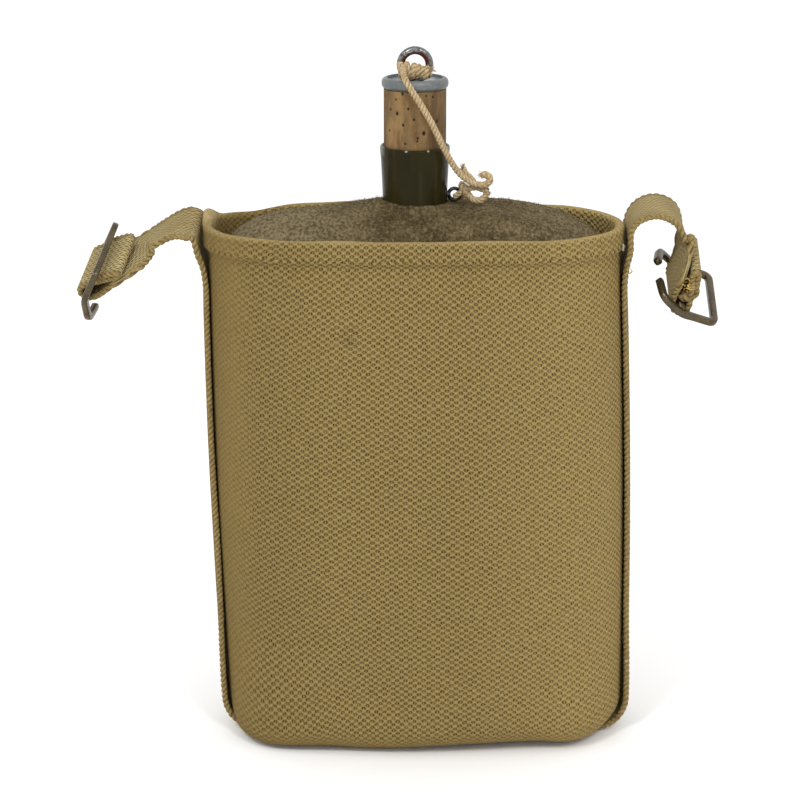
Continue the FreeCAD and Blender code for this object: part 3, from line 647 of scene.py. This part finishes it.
def make_studio():
    scene = bpy.context.scene
    scene.view_settings.view_transform = "Standard"
    world = bpy.data.worlds.new("studio")
    scene.world = world
    world.use_nodes = True
    backdrop = world.node_tree.nodes["Background"]
    backdrop.inputs[0].default_value = (1, 1, 1, 1)
    backdrop.inputs[1].default_value = 1.1
    area_light("key", (-0.55, -1, 1.25), (0, 0, 0.15), 0.28, 6.5)
    area_light("second", (0.45, -1.05, 1.1), (0, 0, 0.15), 0.28, 4.5)
    mesh = bpy.data.meshes.new("floor")
    half = 4
    corners = [(-half, -half, 0), (half, -half, 0), (half, half, 0), (-half, half, 0)]
    mesh.from_pydata(corners, [], [(0, 1, 2, 3)])
    floor = linked("floor", mesh, "floor")
    floor.location.z = -0.0004


# Tether and knots

TETHER_TOP = [(-4.4, -8.9, 9.4), (-4.8, -3.8, 6.9), (-3.5, 1.7, 4.6), (-1.3, 2.3, 1.2), (2.6, 2, -5),
              (6.2, 1.7, -11)]
TETHER_FOOT = [(-6, 13.8, 23.9), (-2.3, 11.4, 16), (1.8, 9.4, 9.7), (6.8, 8.6, 5.9), (11.6, 8.4, 4.9),
               (14.3, 8.4, 6.9), (13.3, 8.6, 9.5), (10.5, 9, 9.6)]
LUG_LOOP = [(4.5, 3.6, 2.7), (6.1, 4.2, -0.8), (9.1, 5.4, -2), (11.7, 6.4, -0.6), (13.4, 6.6, 2.3)]


def by_the_cap(right, front, up):
    return Vector((right, -CAP_RADIUS - front, CAP_FOOT + up))


def by_the_lug(right, front, up):
    return LUG + Vector((right, -front, up))


def make_tether():
    points = [by_the_cap(*p) for p in TETHER_TOP] + [by_the_lug(*p) for p in TETHER_FOOT]
    line = nurbs_line(points)
    cord = twisted("tether", line, 1.34, 5.2, "cord", fray=0.5)
    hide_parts("tether_cord")
    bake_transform(cord)


def eye_coil():
    """Turns of the cord round the bottom of the eye, which hide it from the front."""
    points = []
    steps = 52
    for k in range(steps + 1):
        share = k / steps
        angle = FULL_TURN * 4.3 * share + 2.2
        swell = 1 + 0.18 * math.sin(7 * share)
        points.append(Vector((-1.9 + 7.2 * share, -2.3 - 1.6 * math.cos(angle),
                              EYE.z - 2.6 + 0.5 * math.sin(5 * share) + 1.75 * swell * math.sin(angle))))
    return points


def make_eye_knot():
    left = [(-3.4, 2.4, -3), (-5.4, 2.2, -0.8), (-6.1, -1, 0.6), (-5.2, -3.6, -0.6), (-5.4, -3.4, -3.4),
            (-4.6, -1.6, -5.2), (-3, -3.2, -4), (-2.6, -4, -1.6), (-3.4, -3, -0.2), (-3.6, 0.4, 0.2)]
    line = nurbs_line([EYE + Vector(p) for p in left])
    pieces = [
        twisted("knot_left", line, 1.5, 4.6, "cord", turn=1),
        twisted("knot_coil", eye_coil(), 1.35, 4.6, "cord", fray=0.6),
        frayed_end("fray_eye", EYE + Vector((6, -3.2, -1.6)), (0.6, -0.6, 0.6), 46, 3, 5, "cord", 0.6),
        frayed_end("fray_knot", EYE + Vector((1.4, -4.2, -3.2)), (0.2, -1, 0), 40, 1.8, 6, "cord", 0.8),
    ]
    placed(joined("eye_knot", pieces), "stopper", "cord", "ring_knot")


def make_lug_knot():
    def strand(name, points, radius, fray=0):
        line = nurbs_line([by_the_lug(*p) for p in points])
        return twisted(name, line, radius, 4.8, "cord", fray=fray)

    hitch = [(-0.2, 2.8, -0.6), (1.2, 3.4, 0.4), (2.8, 3.6, 1.8), (4, 3, 3), (4.4, 0.6, 3.6),
             (3.2, -1.6, 2.4), (2.6, -2.2, 0), (3.4, -0.4, -1.8), (4.6, 2, -1.4), (4.8, 3.8, 0.6),
             (3.4, 4.4, 2.6), (2.2, 3.4, 4.2), (3.2, 1.6, 4.8)]
    rise = [(3.6, 3.6, 2.6), (6, 5, 3.4), (8.8, 6.2, 4), (11.4, 6.6, 3), (13.4, 6.9, 2.6)]
    tail = [(8.6, 6.2, 4.4), (7.2, 6.2, 6.4), (5.6, 6.4, 8.4), (3.7, 6.2, 9.7), (3.2, 5.9, 11.6)]
    pieces = [
        strand("slack", LUG_LOOP, 1.35),
        strand("rise", rise, 1.3),
        strand("hitch", hitch, 1.2),
        strand("tail", tail, 1.4, 0.5),
        frayed_end("fray_tail", by_the_lug(3.2, 5.9, 11.5), (-0.2, 0, 1), 44, 2.2, 3, "cord"),
        frayed_end("fray_curl", by_the_lug(10.4, 9, 9.6), (-1, 0, -0.2), 34, 1.9, 4, "cord"),
    ]
    placed(joined("lug_hitch", pieces), "carrier", "cord", "lug_knot")


# Sleeve

SIDES = ("right", "left", "front", "rear")
BASE_REACH = {"right": 87.6, "left": 77.4, "front": 41, "rear": 41}
RIM_REACH = {"right": 82.4, "left": 83.4, "front": 39, "rear": 43}
BULGE = {"right": 1.7, "left": 1.7, "front": 2.6, "rear": 2.6}
CORNER_RADIUS = 36
CORNER_DROP = 6.5
HEM_EDGE = 1.6
RIM_RADIUS = 2.1


def reach_at(word, z):
    share = z / RIM
    swell = BULGE[word] * math.sin(math.pi * min(max(share, 0), 1))
    return BASE_REACH[word] + (RIM_REACH[word] - BASE_REACH[word]) * share + swell


def oval(right, left, front, rear, corner, steps):
    """Points round an oval of tangent arcs, from the middle of the front towards the right."""
    long_steps, short_steps = steps
    quarter = math.pi / 2

    def half(across):
        reach = across - corner
        front_radius = (reach**2 + front**2 - corner**2) / (2 * (front - corner))
        rear_radius = (reach**2 + rear**2 - corner**2) / (2 * (rear - corner))
        low = math.atan2(front - front_radius, reach)
        high = math.atan2(rear_radius - rear, reach)
        out = []
        for cx, cy, radius, start, end, count in (
                (0, front_radius - front, front_radius, -quarter, low, long_steps),
                (reach, 0, corner, low, high, short_steps),
                (0, rear - rear_radius, rear_radius, high, quarter, long_steps)):
            for k in range(count):
                t = start + (end - start) * k / count
                out.append((cx + radius * math.cos(t), cy + radius * math.sin(t)))
        return out

    back_again = [(-x, y) for x, y in half(left)[1:] + [(0, rear)]]
    return half(right) + back_again[::-1]


def sleeve_profile():
    """Up the outside of the sleeve, over its rim and down inside: (height, step outwards)."""
    rows = []
    for k in range(11):
        t = math.pi / 2 * k / 10
        rows.append((PANEL_BASE + BASE_ROUND * (1 - math.cos(t)), BASE_ROUND * (math.sin(t) - 1)))
    foot = PANEL_BASE + BASE_ROUND
    wall = HEM_FOOT - HEM_EDGE
    rows += [(foot + (wall - foot) * k / 46, 0) for k in range(1, 47)]
    rows += [(wall + 2 * HEM_EDGE * k / 7, HEM_STEP * smooth_step(k / 7, 0, 1)) for k in range(1, 8)]
    top = RIM - RIM_RADIUS
    start = HEM_FOOT + HEM_EDGE
    rows += [(start + (top - start) * k / 6, HEM_STEP - 0.3 * math.sin(math.pi * k / 6)) for k in range(1, 7)]
    for k in range(1, 11):
        t = math.pi * k / 10
        rows.append((top + RIM_RADIUS * math.sin(t), HEM_STEP - RIM_RADIUS * (1 - math.cos(t))))
    rows += [(RIM - depth, HEM_STEP - 2 * RIM_RADIUS) for depth in (4, 6, 8, 11, 15, 20, 26, 34)]
    return rows


def bend_cloth(x, y, z):
    """The sleeve's unevenness: full front corners at the base, and the rim lifted at its left end."""
    low = 1 - smooth_step(z, 2, 26)
    if y < 0:
        z -= low * smooth_step(-y, 14, 34) * 2.1 * bell(x + 28, 42)
        rise = max(z - PANEL_BASE, 0) / BASE_ROUND
        drop = CORNER_DROP * min(rise, 1) ** 0.65 * (1 - smooth_step(z, 14, 55))
        z -= drop * smooth_step(-y, 5, 17) * (1 - smooth_step(x, -50, -22))
        full = (1 - smooth_step(z, 8, 42)) * smooth_step(-y, 8, 20)
        left, right = bell(x + 66, 15), bell(x - 68, 13)
        y -= full * (3.2 * left + 2.2 * right)
        z = max(z - full * (1.4 * left + 1.6 * right), 0.1)
    push = 0.9 * uneven(x * 0.018 + 3, y * 0.02 + 7, z * 0.014 + 1) * smooth_step(abs(y), 5, 25)
    y += push if y > 0 else -push
    at_rim = smooth_step(z, RIM - 16, RIM)
    z += 0.6 * uneven(x * 0.05, y * 0.05, 4) * at_rim
    behind = smooth_step(y, -6, 4) * (1 - smooth_step(y, 12, 24))
    z += 5.2 * at_rim * bell(x + 86, 5) * behind
    z -= 1.7 * at_rim * bell(x + 68, 11) * smooth_step(y, 4, 20)
    return x, y, z


def outline_at(z, out, corner, steps):
    return oval(*[reach_at(word, z) + out for word in SIDES], corner, steps)


def make_sleeve():
    steps = (44, 34)
    middle = outline_at(110, 0, CORNER_RADIUS, steps)
    lengths = travelled(middle + middle[:1])
    fit = round(lengths[-1] / WEAVE_WIDTH) * WEAVE_WIDTH / lengths[-1]
    lengths = [length * fit for length in lengths]
    rows, cloth = [], []
    base = outline_at(0, -BASE_ROUND, CORNER_RADIUS - BASE_ROUND, steps)
    for share in (0, 0.3, 0.6, 0.85):
        edge = [(x * share, y * share) for x, y in base]
        rows.append([bend_cloth(x, y, PANEL_BASE) for x, y in edge])
        cloth.append(edge + edge[:1])
    profile = sleeve_profile()
    for (z, out), v in zip(profile, travelled(profile)):
        edge = outline_at(z, out, CORNER_RADIUS + out, steps)
        rows.append([bend_cloth(x, y, z) for x, y in edge])
        cloth.append([(length, v) for length in lengths])
    sleeve = grid_object("sleeve", rows, "webbing", cloth)
    placed(sleeve, "carrier", "webbing", "carrier_panel")


def make_hem_stitches():
    """A row of short stitches at the foot of the hem."""
    height = HEM_FOOT + 2
    edge = outline_at(height, HEM_STEP - 0.15, CORNER_RADIUS + 2, (60, 40))
    ring = [Vector(bend_cloth(x, y, height)) for x, y in edge]
    line = evenly(ring + ring[:1], NEEDLE_SPACING / 4)
    rng = np.random.default_rng(4)
    pieces = []
    for start in range(0, len(line) - 3, 4):
        a, b, c = [p + Vector((0, 0, rng.normal(0, 0.15))) for p in line[start:start + 3]]
        out = Vector((b.x * 0.3, b.y, 0)).normalized()
        stitch = [a - out * 0.3, b + out * 0.02, c - out * 0.3]
        pieces.append(tube("stitch", stitch, 0.24, "stitch", 5))
    placed(joined("hem_stitches", pieces), "carrier", "webbing")


# Side strap

# Stations of each arch: out from the edge, up from the rim, fall of the width in degrees, swing.
RIGHT_ARCH = [(0.1, -4, 1, 0), (0.5, -1.2, 2.5, 0), (2.4, 2.5, 6, 0), (5.9, 5.1, 8.5, 0),
              (10.7, 6.4, 9.5, 0), (15.6, 5.3, 11.5, 0.01), (19.8, 1.9, 14, 0.02),
              (21.9, -3.5, 17, 0.04), (22.3, -8.8, 19, 0.05)]
LEFT_ARCH = [(0.3, -6.1, 15.5, -0.06), (0.8, -2.6, 20.5, -0.1), (3.5, -0.8, 20.5, -0.13),
             (9.2, -1.5, 14.5, -0.12), (16.4, -5.3, 14, -0.15), (22.1, -9.5, 19, -0.16)]

# The layer that comes in to each bar: back along the strap, and out from the bar.
RIGHT_INCOMING = [(13.6, -0.5), (10.4, -1.4), (7, -2.5), (3.6, -3.3)]
LEFT_INCOMING = [(13.6, 0.5), (10.4, -0.6), (7, -1.9), (3.6, -3.1)]
ROUND_ANGLES = (0, 25, 50, 72, 90)
SIDE_SHARES = (0.15, 0.3, 0.45, 0.6, 0.75, 0.87, 0.955)
STRAP_TAIL = 16.8
TUCK = 9
EDGE_INSET = 1.35
EDGE_PITCH = 4.6
EDGE_RADIUS = 0.8


def panel_across(side, z):
    return reach_at("right" if side > 0 else "left", z) + (HEM_STEP if z > HEM_FOOT - 4 else 0)


def strap_across(side, z):
    return panel_across(side, z) + STRAP_GAP + STRAP_THICK / 2


def bar_centre(side):
    if side > 0:
        return Vector((strap_across(1, RIM) + 21.15, -0.4, RIM - 27.9))
    return Vector((-strap_across(-1, RIM) - 42.55, -0.6, RIM - 21))


def width_direction(fall, swing):
    angle = math.radians(fall)
    return Vector((swing, -math.cos(angle), -math.sin(angle))).normalized()


def wrapped_end(side, bar, back, incoming):
    """The strap's end: round the centre bar, back along itself and tucked under."""
    back = (back - bar * back.dot(bar)).normalized()
    across = back.cross(bar) * side
    if across.x * side < 0:
        across = -across
    radius = 3.5
    layer = STRAP_THICK + 0.25
    flat = list(incoming)
    for angle in (190, 225, 260, 295, 330, 360):
        t = math.radians(angle)
        flat.append((radius * math.sin(t), radius * math.cos(t)))
    flat += [(STRAP_TAIL * 0.35, radius), (STRAP_TAIL * 0.7, radius - 0.24), (STRAP_TAIL, radius - 0.4)]
    middle = radius - 0.4 + layer / 2
    for angle in (45, 90, 135):
        t = math.radians(angle)
        flat.append((STRAP_TAIL + layer / 2 * math.sin(t), middle - layer / 2 * math.cos(t)))
    flat += [(STRAP_TAIL, middle + layer / 2), (STRAP_TAIL - TUCK, middle + layer / 2 - 0.2)]
    centre = bar_centre(side)
    return [(centre + back * up + across * out, bar.copy()) for up, out in flat]


def half_strap(side, arch, bar, incoming):
    """Stations from the middle of the base to one end: the middle line and the width direction."""
    level = Vector((0, -1, 0))
    radius = BASE_ROUND + STRAP_GAP + STRAP_THICK / 2
    flat_reach = panel_across(side, 0) - BASE_ROUND
    corner = PANEL_BASE + BASE_ROUND
    path = [(Vector((side * flat_reach * share, 0, STRAP_THICK / 2)), level) for share in (0.25, 0.55, 0.85)]
    for angle in ROUND_ANGLES:
        t = math.radians(angle)
        middle = panel_across(side, corner - BASE_ROUND * math.cos(t)) - BASE_ROUND
        place = Vector((side * (middle + radius * math.sin(t)), 0, corner - radius * math.cos(t)))
        path.append((place, level))
    for share in SIDE_SHARES:
        path.append((Vector((side * strap_across(side, HEM_FOOT * share), 0, HEM_FOOT * share)), level))
    first = width_direction(arch[0][2] / 2, arch[0][3] / 2)
    path.append((Vector((side * strap_across(side, HEM_FOOT), 0, HEM_FOOT)), first))
    edge = strap_across(side, RIM)
    for out, up, fall, swing in arch:
        path.append((Vector((side * (edge + out), 0, RIM + up)), width_direction(fall, swing)))
    return path + wrapped_end(side, bar, path[-1][0] - bar_centre(side), incoming)


def strap_line():
    """Close points along the strap, each with its width and thickness directions."""
    right = half_strap(1, RIGHT_ARCH, RIGHT_BAR, RIGHT_INCOMING)
    left = half_strap(-1, LEFT_ARCH, LEFT_BAR, LEFT_INCOMING)
    stations = left[::-1] + right
    centres = smooth_curve([place for place, _ in stations], 20)
    ways = smooth_curve([way for _, way in stations], 20)
    line = evenly(centres, STRAP_STEP)
    out = []
    for i, (_, k) in enumerate(even_steps(travelled(centres), len(line) - 1)):
        along = heading(line, i)
        width = (ways[k] - along * ways[k].dot(along)).normalized()
        out.append((line[i], width, along.cross(width)))
    return out


def edge_curl(place):
    """How far the strap's two edges bend in to hug the sleeve."""
    beside = smooth_step(place.z, 20, 60) * (1 - smooth_step(place.z, 186, 204))
    beside *= 1 - smooth_step(abs(place.x), 90, 94)
    hug = 0.8 * beside
    if place.x < 0:
        hug += 0.5 * beside * bell(place.z - 85, 25)
    return hug


def edge_rope(line, sign, half):
    """Two strands twisted round each other along one edge of the strap, with painted shade towards their
    middle.
    """
    pieces = []
    sharp = [p + width * sign * (half - EDGE_INSET) - up * edge_curl(p) for p, width, up in line]
    middles = []
    for i in range(len(sharp)):
        reach = min(4, i, len(sharp) - 1 - i)
        near = sharp[i - reach:i + reach + 1]
        middles.append(sum(near, Vector()) / len(near))
    for strand in (0, 1):
        path = []
        for i, (_, width, up) in enumerate(line):
            angle = FULL_TURN * (i * STRAP_STEP / EDGE_PITCH + strand / 2)
            path.append(middles[i] + width * 0.5 * math.cos(angle) + up * 0.55 * math.sin(angle))
        rope = tube("edge", path, EDGE_RADIUS, "selvedge", taper=0.8)
        mark_grooves(rope, middles, 0.74, 1.14)
        pieces.append(rope)
    return pieces


def make_strap():
    line = strap_line()
    half = STRAP_WIDTH / 2
    inner = half - 1.9
    thick = STRAP_THICK * 0.42
    across = [inner - 2 * inner * k / 10 for k in range(11)]
    section = [(x, thick) for x in across] + [(x, -thick) for x in across[::-1]]
    girth = travelled(section + section[:1])
    rows = []
    for p, width, up in line:
        curl = edge_curl(p)
        rows.append([p + width * x + up * (y - curl * (x / half) ** 4) for x, y in section])
    cloth = [[(u, i * STRAP_STEP) for u in girth] for i in range(len(line))]
    pieces = [grid_object("strap", rows, "strap", cloth, ends=True)]
    for sign in (1, -1):
        pieces += edge_rope(line, sign, half)
    placed(joined("strap", pieces), "carrier", "webbing", "side_strap")
    tail = [Vector(p) for p in ((106.6, -11.2, 188.6), (108.8, -11.6, 187.3), (111.4, -11.6, 188.2),
                                (113, -11.2, 190.6))]
    end = twisted("strap_tail", smooth_curve(tail, 6), 2.1, 7, "selvedge")
    placed(end, "carrier", "webbing")


# Buckles: the rod's middle line, then half the rod's width and depth.

FRAME_HALF = 16
LOOP_REACH = 14.6
HOOK_REACH = 10.4
HOOK_BEND = math.radians(26)
TIP_HALF = 6
TIP_OUT = 2
CORNER = 3.2
ROD_WIDE = 1.5
ROD_DEEP = 1.3


def frame_plan():
    """The rod's middle line on the flat, from one hook tip round the loop to the other."""
    tip = -HOOK_REACH - TIP_OUT
    plan = [Vector((x, y, 0)) for x, y in (
        (tip, TIP_HALF), (-HOOK_REACH, FRAME_HALF), (LOOP_REACH, FRAME_HALF), (LOOP_REACH, -FRAME_HALF),
        (-HOOK_REACH, -FRAME_HALF), (tip, -TIP_HALF))]
    line = [plan[0]]
    for back, here, ahead in zip(plan, plan[1:], plan[2:]):
        enter = here + (back - here).normalized() * CORNER
        leave = here + (ahead - here).normalized() * CORNER
        for k in range(7):
            t = k / 6
            line.append(enter * (1 - t) ** 2 + here * 2 * t * (1 - t) + leave * t**2)
    line.append(plan[-1])
    return evenly(line, 0.7)


def fold(x):
    """Where a point of the flat plate lies once the hook is bent up: run, rise and turn."""
    soft = 3
    if x >= soft:
        return x, 0, 0
    run, rise = soft, 0
    steps = 24
    length = (soft - x) / steps
    for k in range(steps):
        turned = HOOK_BEND * min(1, length * (k + 0.5) / (2 * soft))
        run -= math.cos(turned) * length
        rise += math.sin(turned) * length
    return run, rise, turned


def rounded_bar(name, points, ups, sizes, material):
    """A bar with a rounded rectangular section. ups are its thickness directions."""
    def squarish(value):
        return math.copysign(abs(value) ** 0.42, value)

    shape = [(squarish(math.cos(t)) * ROD_WIDE, squarish(math.sin(t)) * ROD_DEEP) for t in full_circle(16)]
    rows = []
    for i, (p, up, size) in enumerate(zip(points, ups, sizes)):
        side = heading(points, i).cross(up).normalized()
        rows.append([p + side * a * size + up * b for a, b in shape])
    return grid_object(name, rows, material, ends=True)


def make_buckle(name, body, side, bar, loop):
    reach = (loop - bar * loop.dot(bar)).normalized()
    normal = reach.cross(bar * -side)
    cross = normal.cross(reach)
    centre = bar_centre(side)

    def bent(flat):
        points, ups = [], []
        for p in flat:
            run, rise, turned = fold(p.x)
            points.append(centre + reach * run + cross * p.y + normal * rise)
            ups.append(normal * math.cos(turned) + reach * math.sin(turned))
        return points, ups

    plan = frame_plan()
    swell = [1 + 0.3 * bell(p.x, 3.5) + 0.12 * smooth_step(-p.x, 2, 8) for p in plan]
    swell[0] = swell[-1] = 0.75
    middle = [Vector((0, y, 0)) for y in (FRAME_HALF - 0.4, 0, 0.4 - FRAME_HALF)]
    pieces = [rounded_bar("rim", *bent(plan), swell, "bronze"),
              rounded_bar("bar", *bent(middle), [1] * 3, "bronze")]
    placed(joined(name, pieces), body, "bronze", body)


# Felt

FELT_OVAL = (79.3, 79.3, 36.4, 40.4)
FELT_BASE = (74, 74, 37.6, 37.6)
FELT_CORNER = 34
FELT_ROUND = 9
FELT_STEPS = (40, 26)
FELT_SHOULDER = 196
NECK_ROOM = 13.2


def dome_height(px, py, share):
    """The puffed top of the felt, turned up a little at the neck."""
    z = FELT_SHOULDER + (FELT_TOP + 0.3 - FELT_SHOULDER) * (1 - share**3) ** (1 / 2.6)
    z += 1.4 * uneven(px * 0.03, py * 0.05, 2) * min(1, (1 - share) * 3)
    z += 0.35 * uneven(px * 0.2, py * 0.2, 5)
    z += 0.9 * bell(math.hypot(px, py) - 14, 2.6)
    z += 1.2 * bell(px + 17, 4.5) * bell(py, 8)
    z -= 2.3 * bell(px + 36, 20) * smooth_step(py, -6, 14)
    return z


def make_felt():
    """The felt skin, from its base to its top."""
    def inner(inset):
        return oval(*[value - inset for value in FELT_BASE], FELT_CORNER - inset, FELT_STEPS)

    floor_height = PANEL_BASE + 2.5
    rows = []
    for share in (0.02, 0.5, 0.9):
        rows.append([(x * share, y * share, floor_height) for x, y in inner(FELT_ROUND)])
    for k in range(7):
        t = math.pi / 2 * k / 6
        height = floor_height + FELT_ROUND * (1 - math.cos(t))
        rows.append([(x, y, height) for x, y in inner(FELT_ROUND * (1 - math.sin(t)))])
    for z in (40, 80, 120, 160, 185, FELT_SHOULDER):
        size = [a + (b - a) * z / FELT_SHOULDER for a, b in zip(FELT_BASE, FELT_OVAL)]
        rows.append([(x, y, z) for x, y in oval(*size, FELT_CORNER, FELT_STEPS)])
    edge = oval(*FELT_OVAL, FELT_CORNER, FELT_STEPS)
    for k in range(1, 46):
        share = 1 - k / 45 * 0.86
        row = []
        for x, y in edge:
            out = max(share, NECK_ROOM / math.hypot(x, y))
            px, py = x * out, y * out
            row.append((px, py, dome_height(px, py, share)))
        rows.append(row)
    placed(grid_object("felt", rows, "felt"), "carrier", "felt", "felt_cover")


def make_felt_hairs():
    rng = np.random.default_rng(12)
    edge = oval(*FELT_OVAL, FELT_CORNER, FELT_STEPS)
    spots = []
    while len(spots) < 9000:
        x, y = edge[rng.integers(len(edge))]
        share = math.sqrt(rng.uniform(0.03, 0.97))
        px, py = x * share, y * share
        if math.hypot(px, py) < 14:
            continue
        way = Vector((rng.normal(0, 0.8), rng.normal(0, 0.8), 1)).normalized()
        foot = Vector((px, py, dome_height(px, py, share) - 0.1))
        spots.append((foot, way, rng.uniform(0.5, 1.5), 0.055))
    placed(fibres("felt_hairs", spots, "felt_hair"), "carrier", "felt")


# Neck, cork and metal

def lathe(name, profile, material, sides):
    angles = full_circle(sides)
    rows = [[(radius * math.cos(t), radius * math.sin(t), z) for t in angles] for radius, z in profile]
    return grid_object(name, rows, material)


def make_neck():
    """The enamelled neck's smooth skin, turned over at the lip."""
    foot = FELT_TOP - 1.5
    profile = []
    for k in range(25):
        share = k / 24
        profile.append((12.92 + 1.02 * share**1.6, foot + (LIP - 1.2 - foot) * share))
    for k in range(1, 9):
        t = math.pi * k / 8
        profile.append((13.36 + 0.62 * math.cos(t), LIP - 0.75 + 0.85 * math.sin(t)))
    neck = lathe("neck_skin", profile, "enamel", 128)
    for vertex in neck.data.vertices:
        if vertex.co.z > (LIP - 2.5) * MM:
            vertex.co.z += 0.22 * MM * noise.noise(vertex.co * 260)
    placed(neck, "carrier", "enamel")


# Each pit: degrees from the front towards the right, height above the lip, radius.
CORK_PITS = [
    (35, 20.9, 0.5), (21, 21.5, 0.4), (-38, 19.8, 0.42), (-52, 15.6, 0.5), (-35.6, 14.3, 0.75),
    (-13, 16.4, 0.5), (-2, 12.2, 0.5), (45, 11.1, 0.6), (-23, 9.9, 0.55), (-55.6, 7.1, 0.45),
    (16.5, 6.7, 0.8), (5, 4.8, 0.5), (4, 3.6, 0.42), (-19, 2.5, 0.45), (76, 8.3, 0.5),
    (61, 6.4, 0.45), (-74, 23, 0.6), (-72, 20.5, 0.55), (-24, 22.3, 0.6), (12, 17.6, 0.38),
    (-80, 12, 0.5), (95, 16, 0.5), (120, 15, 0.5), (160, 8, 0.55), (200, 18, 0.5),
    (235, 6, 0.5), (250, 17, 0.6),
]


def make_cork():
    """The cork above and below the lip, with its pits pressed in."""
    foot = FELT_TOP + 5.2
    top = CAP_FOOT - 0.05
    profile = [(0.3, foot), (11.2, foot), (11.6, foot + 1.5), (11.9, NECK_MID), (12.3, LIP - 2)]
    profile += [(CORK_RADIUS, LIP - 1 + (top - LIP + 1) * k / 90) for k in range(91)]
    profile.append((0.3, top))
    cork = lathe("cork", profile, "cork", 260)
    points = np.array([tuple(vertex.co) for vertex in cork.data.vertices]) / MM
    depth = np.zeros(len(points))
    for angle, height, radius in CORK_PITS:
        t = math.radians(angle)
        spot = np.array([CORK_RADIUS * math.sin(t), -CORK_RADIUS * math.cos(t), LIP + height])
        away = np.linalg.norm((points - spot) * (1, 1, 0.8), axis=1)
        depth = np.maximum(depth, np.clip(1.35 - away / radius, 0, 1))
    layer = cork.data.attributes.new("pit", "FLOAT", "POINT")
    layer.data.foreach_set("value", depth)
    inward = points * (1, 1, 0)
    inward /= np.linalg.norm(inward, axis=1)[:, None]
    moved = (points - inward * depth[:, None] * 0.55) * MM
    cork.data.vertices.foreach_set("co", moved.ravel())
    placed(cork, "stopper", "cork", "stopper_cork")


# Loose threads

def make_threads():
    def strand(name, points, radius, key):
        line = evenly(smooth_curve([Vector(p) for p in points], 8), 0.3)
        return tube(name, line, radius, key, 6)

    curl = [(85, -12.6, 198), (85.1, -13.2, 199.4), (86.4, -13.4, 199.2), (86.6, -13.2, 197.8),
            (85.4, -13.2, 197.3), (87.2, -13.3, 198.6)]
    end_a = [(107.6, -14.4, 195.2), (108.9, -15.2, 195.9), (110.2, -15.3, 194.2), (109, -15.3, 192.8),
             (111, -15.4, 192.4), (112.6, -15, 194.4)]
    end_b = [(108.4, -14.6, 191.9), (110.6, -15.3, 191.4), (112.6, -15, 191.9)]
    golden = [
        strand("curl", curl, 0.17, "golden"),
        strand("end_a", end_a, 0.32, "golden"),
        strand("end_b", end_b, 0.32, "golden"),
        frayed_end("end_fray", Vector((110.2, -14, 193.4)), (0.2, -1, -0.3), 70, 2, 8, "golden", 0.9, 1.4),
    ]
    placed(joined("golden_threads", golden), "carrier", "webbing")
    upper = [(82.6, -13.4, 209.6), (83.1, -13.9, 208.6), (82.8, -13.8, 207.6), (83.3, -13.5, 206.9)]
    lower = [(88, -13, 32.2), (88.6, -13.6, 31.5), (89.2, -13, 31.9)]
    white = [strand("upper", upper, 0.45, "white_thread"), strand("lower", lower, 0.35, "white_thread")]
    placed(joined("white_threads", white), "carrier", "webbing")


make_camera()
make_studio()
make_tether()
make_eye_knot()
make_lug_knot()
make_sleeve()
make_hem_stitches()
make_strap()
make_buckle("left_frame", "left_buckle", -1, LEFT_BAR, LEFT_LOOP)
make_buckle("right_frame", "right_buckle", 1, RIGHT_BAR, RIGHT_LOOP)
make_felt()
make_felt_hairs()
make_neck()
make_cork()
make_threads()
for node, key in (("bottle", "enamel"), ("neck_lug", "lug"), ("stopper_cap", "zinc"), ("stopper_pin", "eye"),
                  ("stopper_washer", "eye")):
    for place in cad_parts[node].material_slots:
        place.material = MATERIALS[key]
